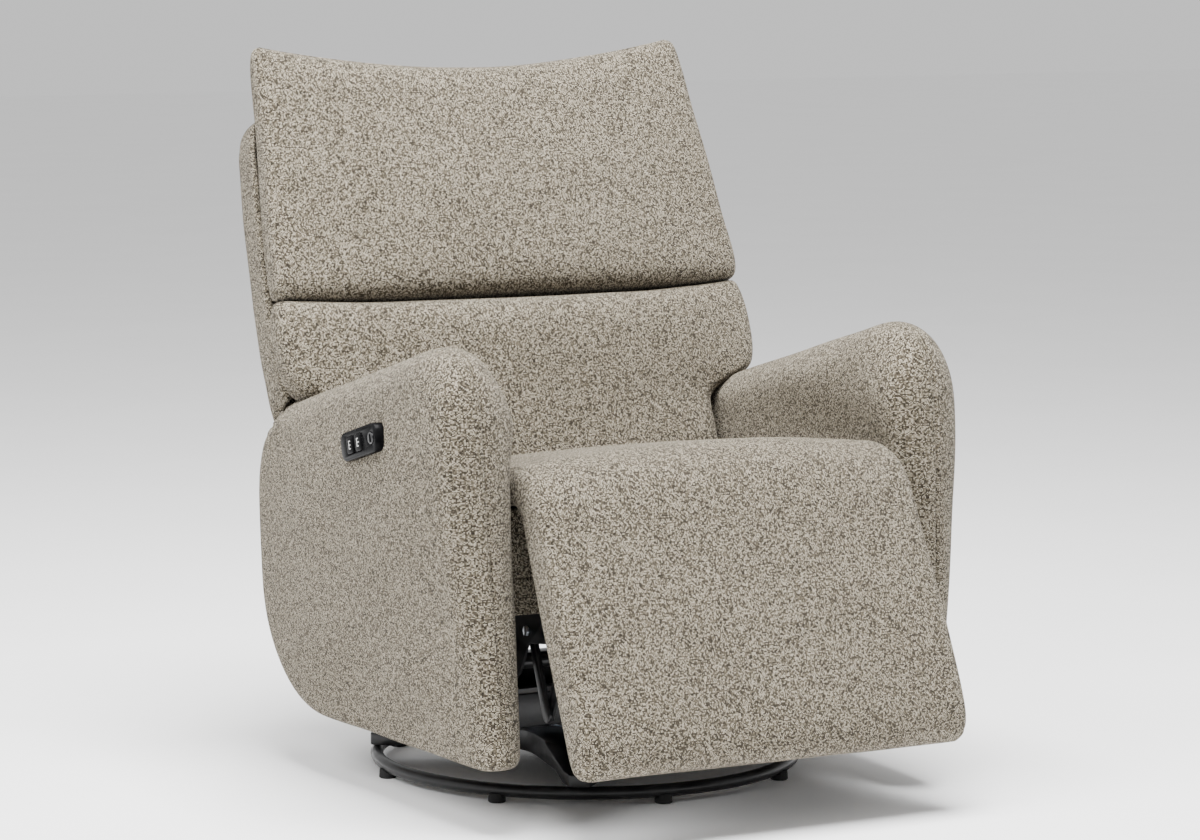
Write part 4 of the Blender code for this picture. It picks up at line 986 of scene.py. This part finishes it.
def apron():
    """Upholstered front of the seat box under the knee, with a seam across it."""
    front = BOX_FRONT_Y - GAP
    thick = 0.012
    low, high = 0.2823, 0.4270
    seam = 0.333
    cuts = (seam - 0.006, seam - 0.003, seam - 0.0008, seam + 0.0008, seam + 0.003, seam + 0.006)
    for name, x0, x1, nodes in (("seat_front_panel", -0.2240, 0.2240, ("seat_apron",)),
                                ("seat_front_wing_left", 0.2296, 0.2850, ()),
                                ("seat_front_wing_right", -0.2850, -0.2296, ())):
        panel = slab(name, x0, x1, front - thick, front, low, high, 0.0035, cuts)
        for v in panel.data.vertices:
            if abs(v.co.z - seam) < 0.001 and v.co.y < front - 0.006:
                v.co.y += 0.0035
        finish_cloth(panel, "seat", *nodes, fill=0.5)


BUTTON_FACE = -(ARM_X + ARM_HALF + ARM_BULGE) - SWITCH_PROUD - BUTTON_PROUD
MARK_T = 0.0006          # thickness of a mark's stroke


def switch_mark(name, button, a, b, half_a, half_b):
    """A pale raised bar on a button, turned with the switch: a runs forward, b upwards."""
    along = Vector((0, -cos(SWITCH_TILT), sin(SWITCH_TILT)))
    up = Vector((0, sin(SWITCH_TILT), cos(SWITCH_TILT)))
    bpy.ops.object.select_all(action="DESELECT")
    bpy.ops.mesh.primitive_cube_add(size=1)
    obj = bpy.context.object
    obj.name = name
    bpy.ops.object.mode_set(mode="EDIT")
    bpy.ops.mesh.select_all(action="SELECT")
    bpy.ops.mesh.bevel(offset=0.15, segments=2, affect="EDGES")
    bpy.ops.object.mode_set(mode="OBJECT")
    centre = Vector((BUTTON_FACE, *SWITCH_AT)) + along * a + up * b
    for v in obj.data.vertices:
        local = v.co.copy()
        v.co = centre + Vector((local.x * MARK_T, 0, 0))
        v.co += along * (local.y * 2 * half_a) + up * (local.z * 2 * half_b)
    paint(obj, MARK)
    settle(obj, button)


def switch_parts():
    """Bezel, port and buttons in plastic, with a plain three-bar mark on each button."""
    for node, mat in (("switch_bezel", PLASTIC), ("usb_port", GLOSS), ("button_raise", PLASTIC),
                      ("button_lower", PLASTIC)):
        crisp(node, node + "_moulding", mat, 0.0006, 2)
    for k, button in enumerate(("button_raise", "button_lower")):
        mid = (0.5 - k) * BUTTON_STEP - 0.010
        switch_mark(f"{button}_mark_stem", button, mid - 0.0015, 0, MARK_T, 0.0058)
        for level, height in (("top", 0.0052), ("middle", 0.0), ("foot", -0.0052)):
            reach = 0.0022 if level != "middle" or k else 0.0030
            switch_mark(f"{button}_mark_{level}", button, mid + reach / 2, height, reach, MARK_T)


# ------------------------------------------------------------------ camera and light
def camera():
    """Looks from the sitter's right front, a little above seat height."""
    lens = bpy.data.cameras.new("camera")
    lens.lens = 129.0
    lens.sensor_width = 36.0
    lens.clip_end = 50.0
    eye = bpy.data.objects.new("camera", lens)
    bpy.context.scene.collection.objects.link(eye)
    back = Vector((-0.47393, -0.87222, 0.12092)).normalized()
    right = Vector((0.87867, -0.47744, 0.0)).normalized()
    up = back.cross(right)
    turn = Matrix((right, up, back)).transposed().to_4x4()
    eye.matrix_world = Matrix.Translation((-2.89256, -5.36763 + SWIVEL_Y, 1.23971)) @ turn
    bpy.context.scene.camera = eye


def pale_floor():
    bpy.ops.object.select_all(action="DESELECT")
    bpy.ops.mesh.primitive_plane_add(size=40, location=(0, 0, 0))
    floor = bpy.context.object
    floor.name = "studio_floor"
    mat, tree, shader, coords = new_material("pale_floor")
    grain = noise_node(tree, coords.outputs["Object"], 3.0, 2.0)
    pale = ramp_node(tree, grain, ((0.3, (0.95, 0.95, 0.95)), (0.7, (0.97, 0.97, 0.97))))
    link(tree, pale, shader.inputs["Base Color"])
    shader.inputs["Roughness"].default_value = 0.9
    paint(floor, mat)


def lights():
    """White surroundings, a soft lamp from the sitter's right and one from above."""
    world = bpy.data.worlds.new("studio")
    bpy.context.scene.world = world
    world.use_nodes = True
    sky = world.node_tree.nodes["Background"]
    sky.inputs["Color"].default_value = (1.0, 1.0, 1.0, 1.0)
    sky.inputs["Strength"].default_value = 0.80
    middle = Vector((0, 0, 0.5))
    for name, spot, size, power in (("key", (-3.4, -0.5, 3.2), 2.2, 195.0),
                                    ("top", (-0.1, -0.6, 3.6), 2.2, 450.0)):
        lamp = bpy.data.lights.new(name, "AREA")
        lamp.shape = "SQUARE"
        lamp.size = size
        lamp.energy = power
        obj = bpy.data.objects.new(name, lamp)
        bpy.context.scene.collection.objects.link(obj)
        obj.location = spot
        obj.rotation_euler = (middle - Vector(spot)).to_track_quat("-Z", "Y").to_euler()


chaise_pad()
for arm_side, arm_sign in (("left", 1), ("right", -1)):
    finish_cloth(arm(arm_side, arm_sign), "seat", f"arm_{arm_side}", fill=0.9)
lower_pad()
head_pad()
back_shell()
tray_shade_cloth()
apron()
mechanism()
switch_parts()
camera()
pale_floor()
lights()
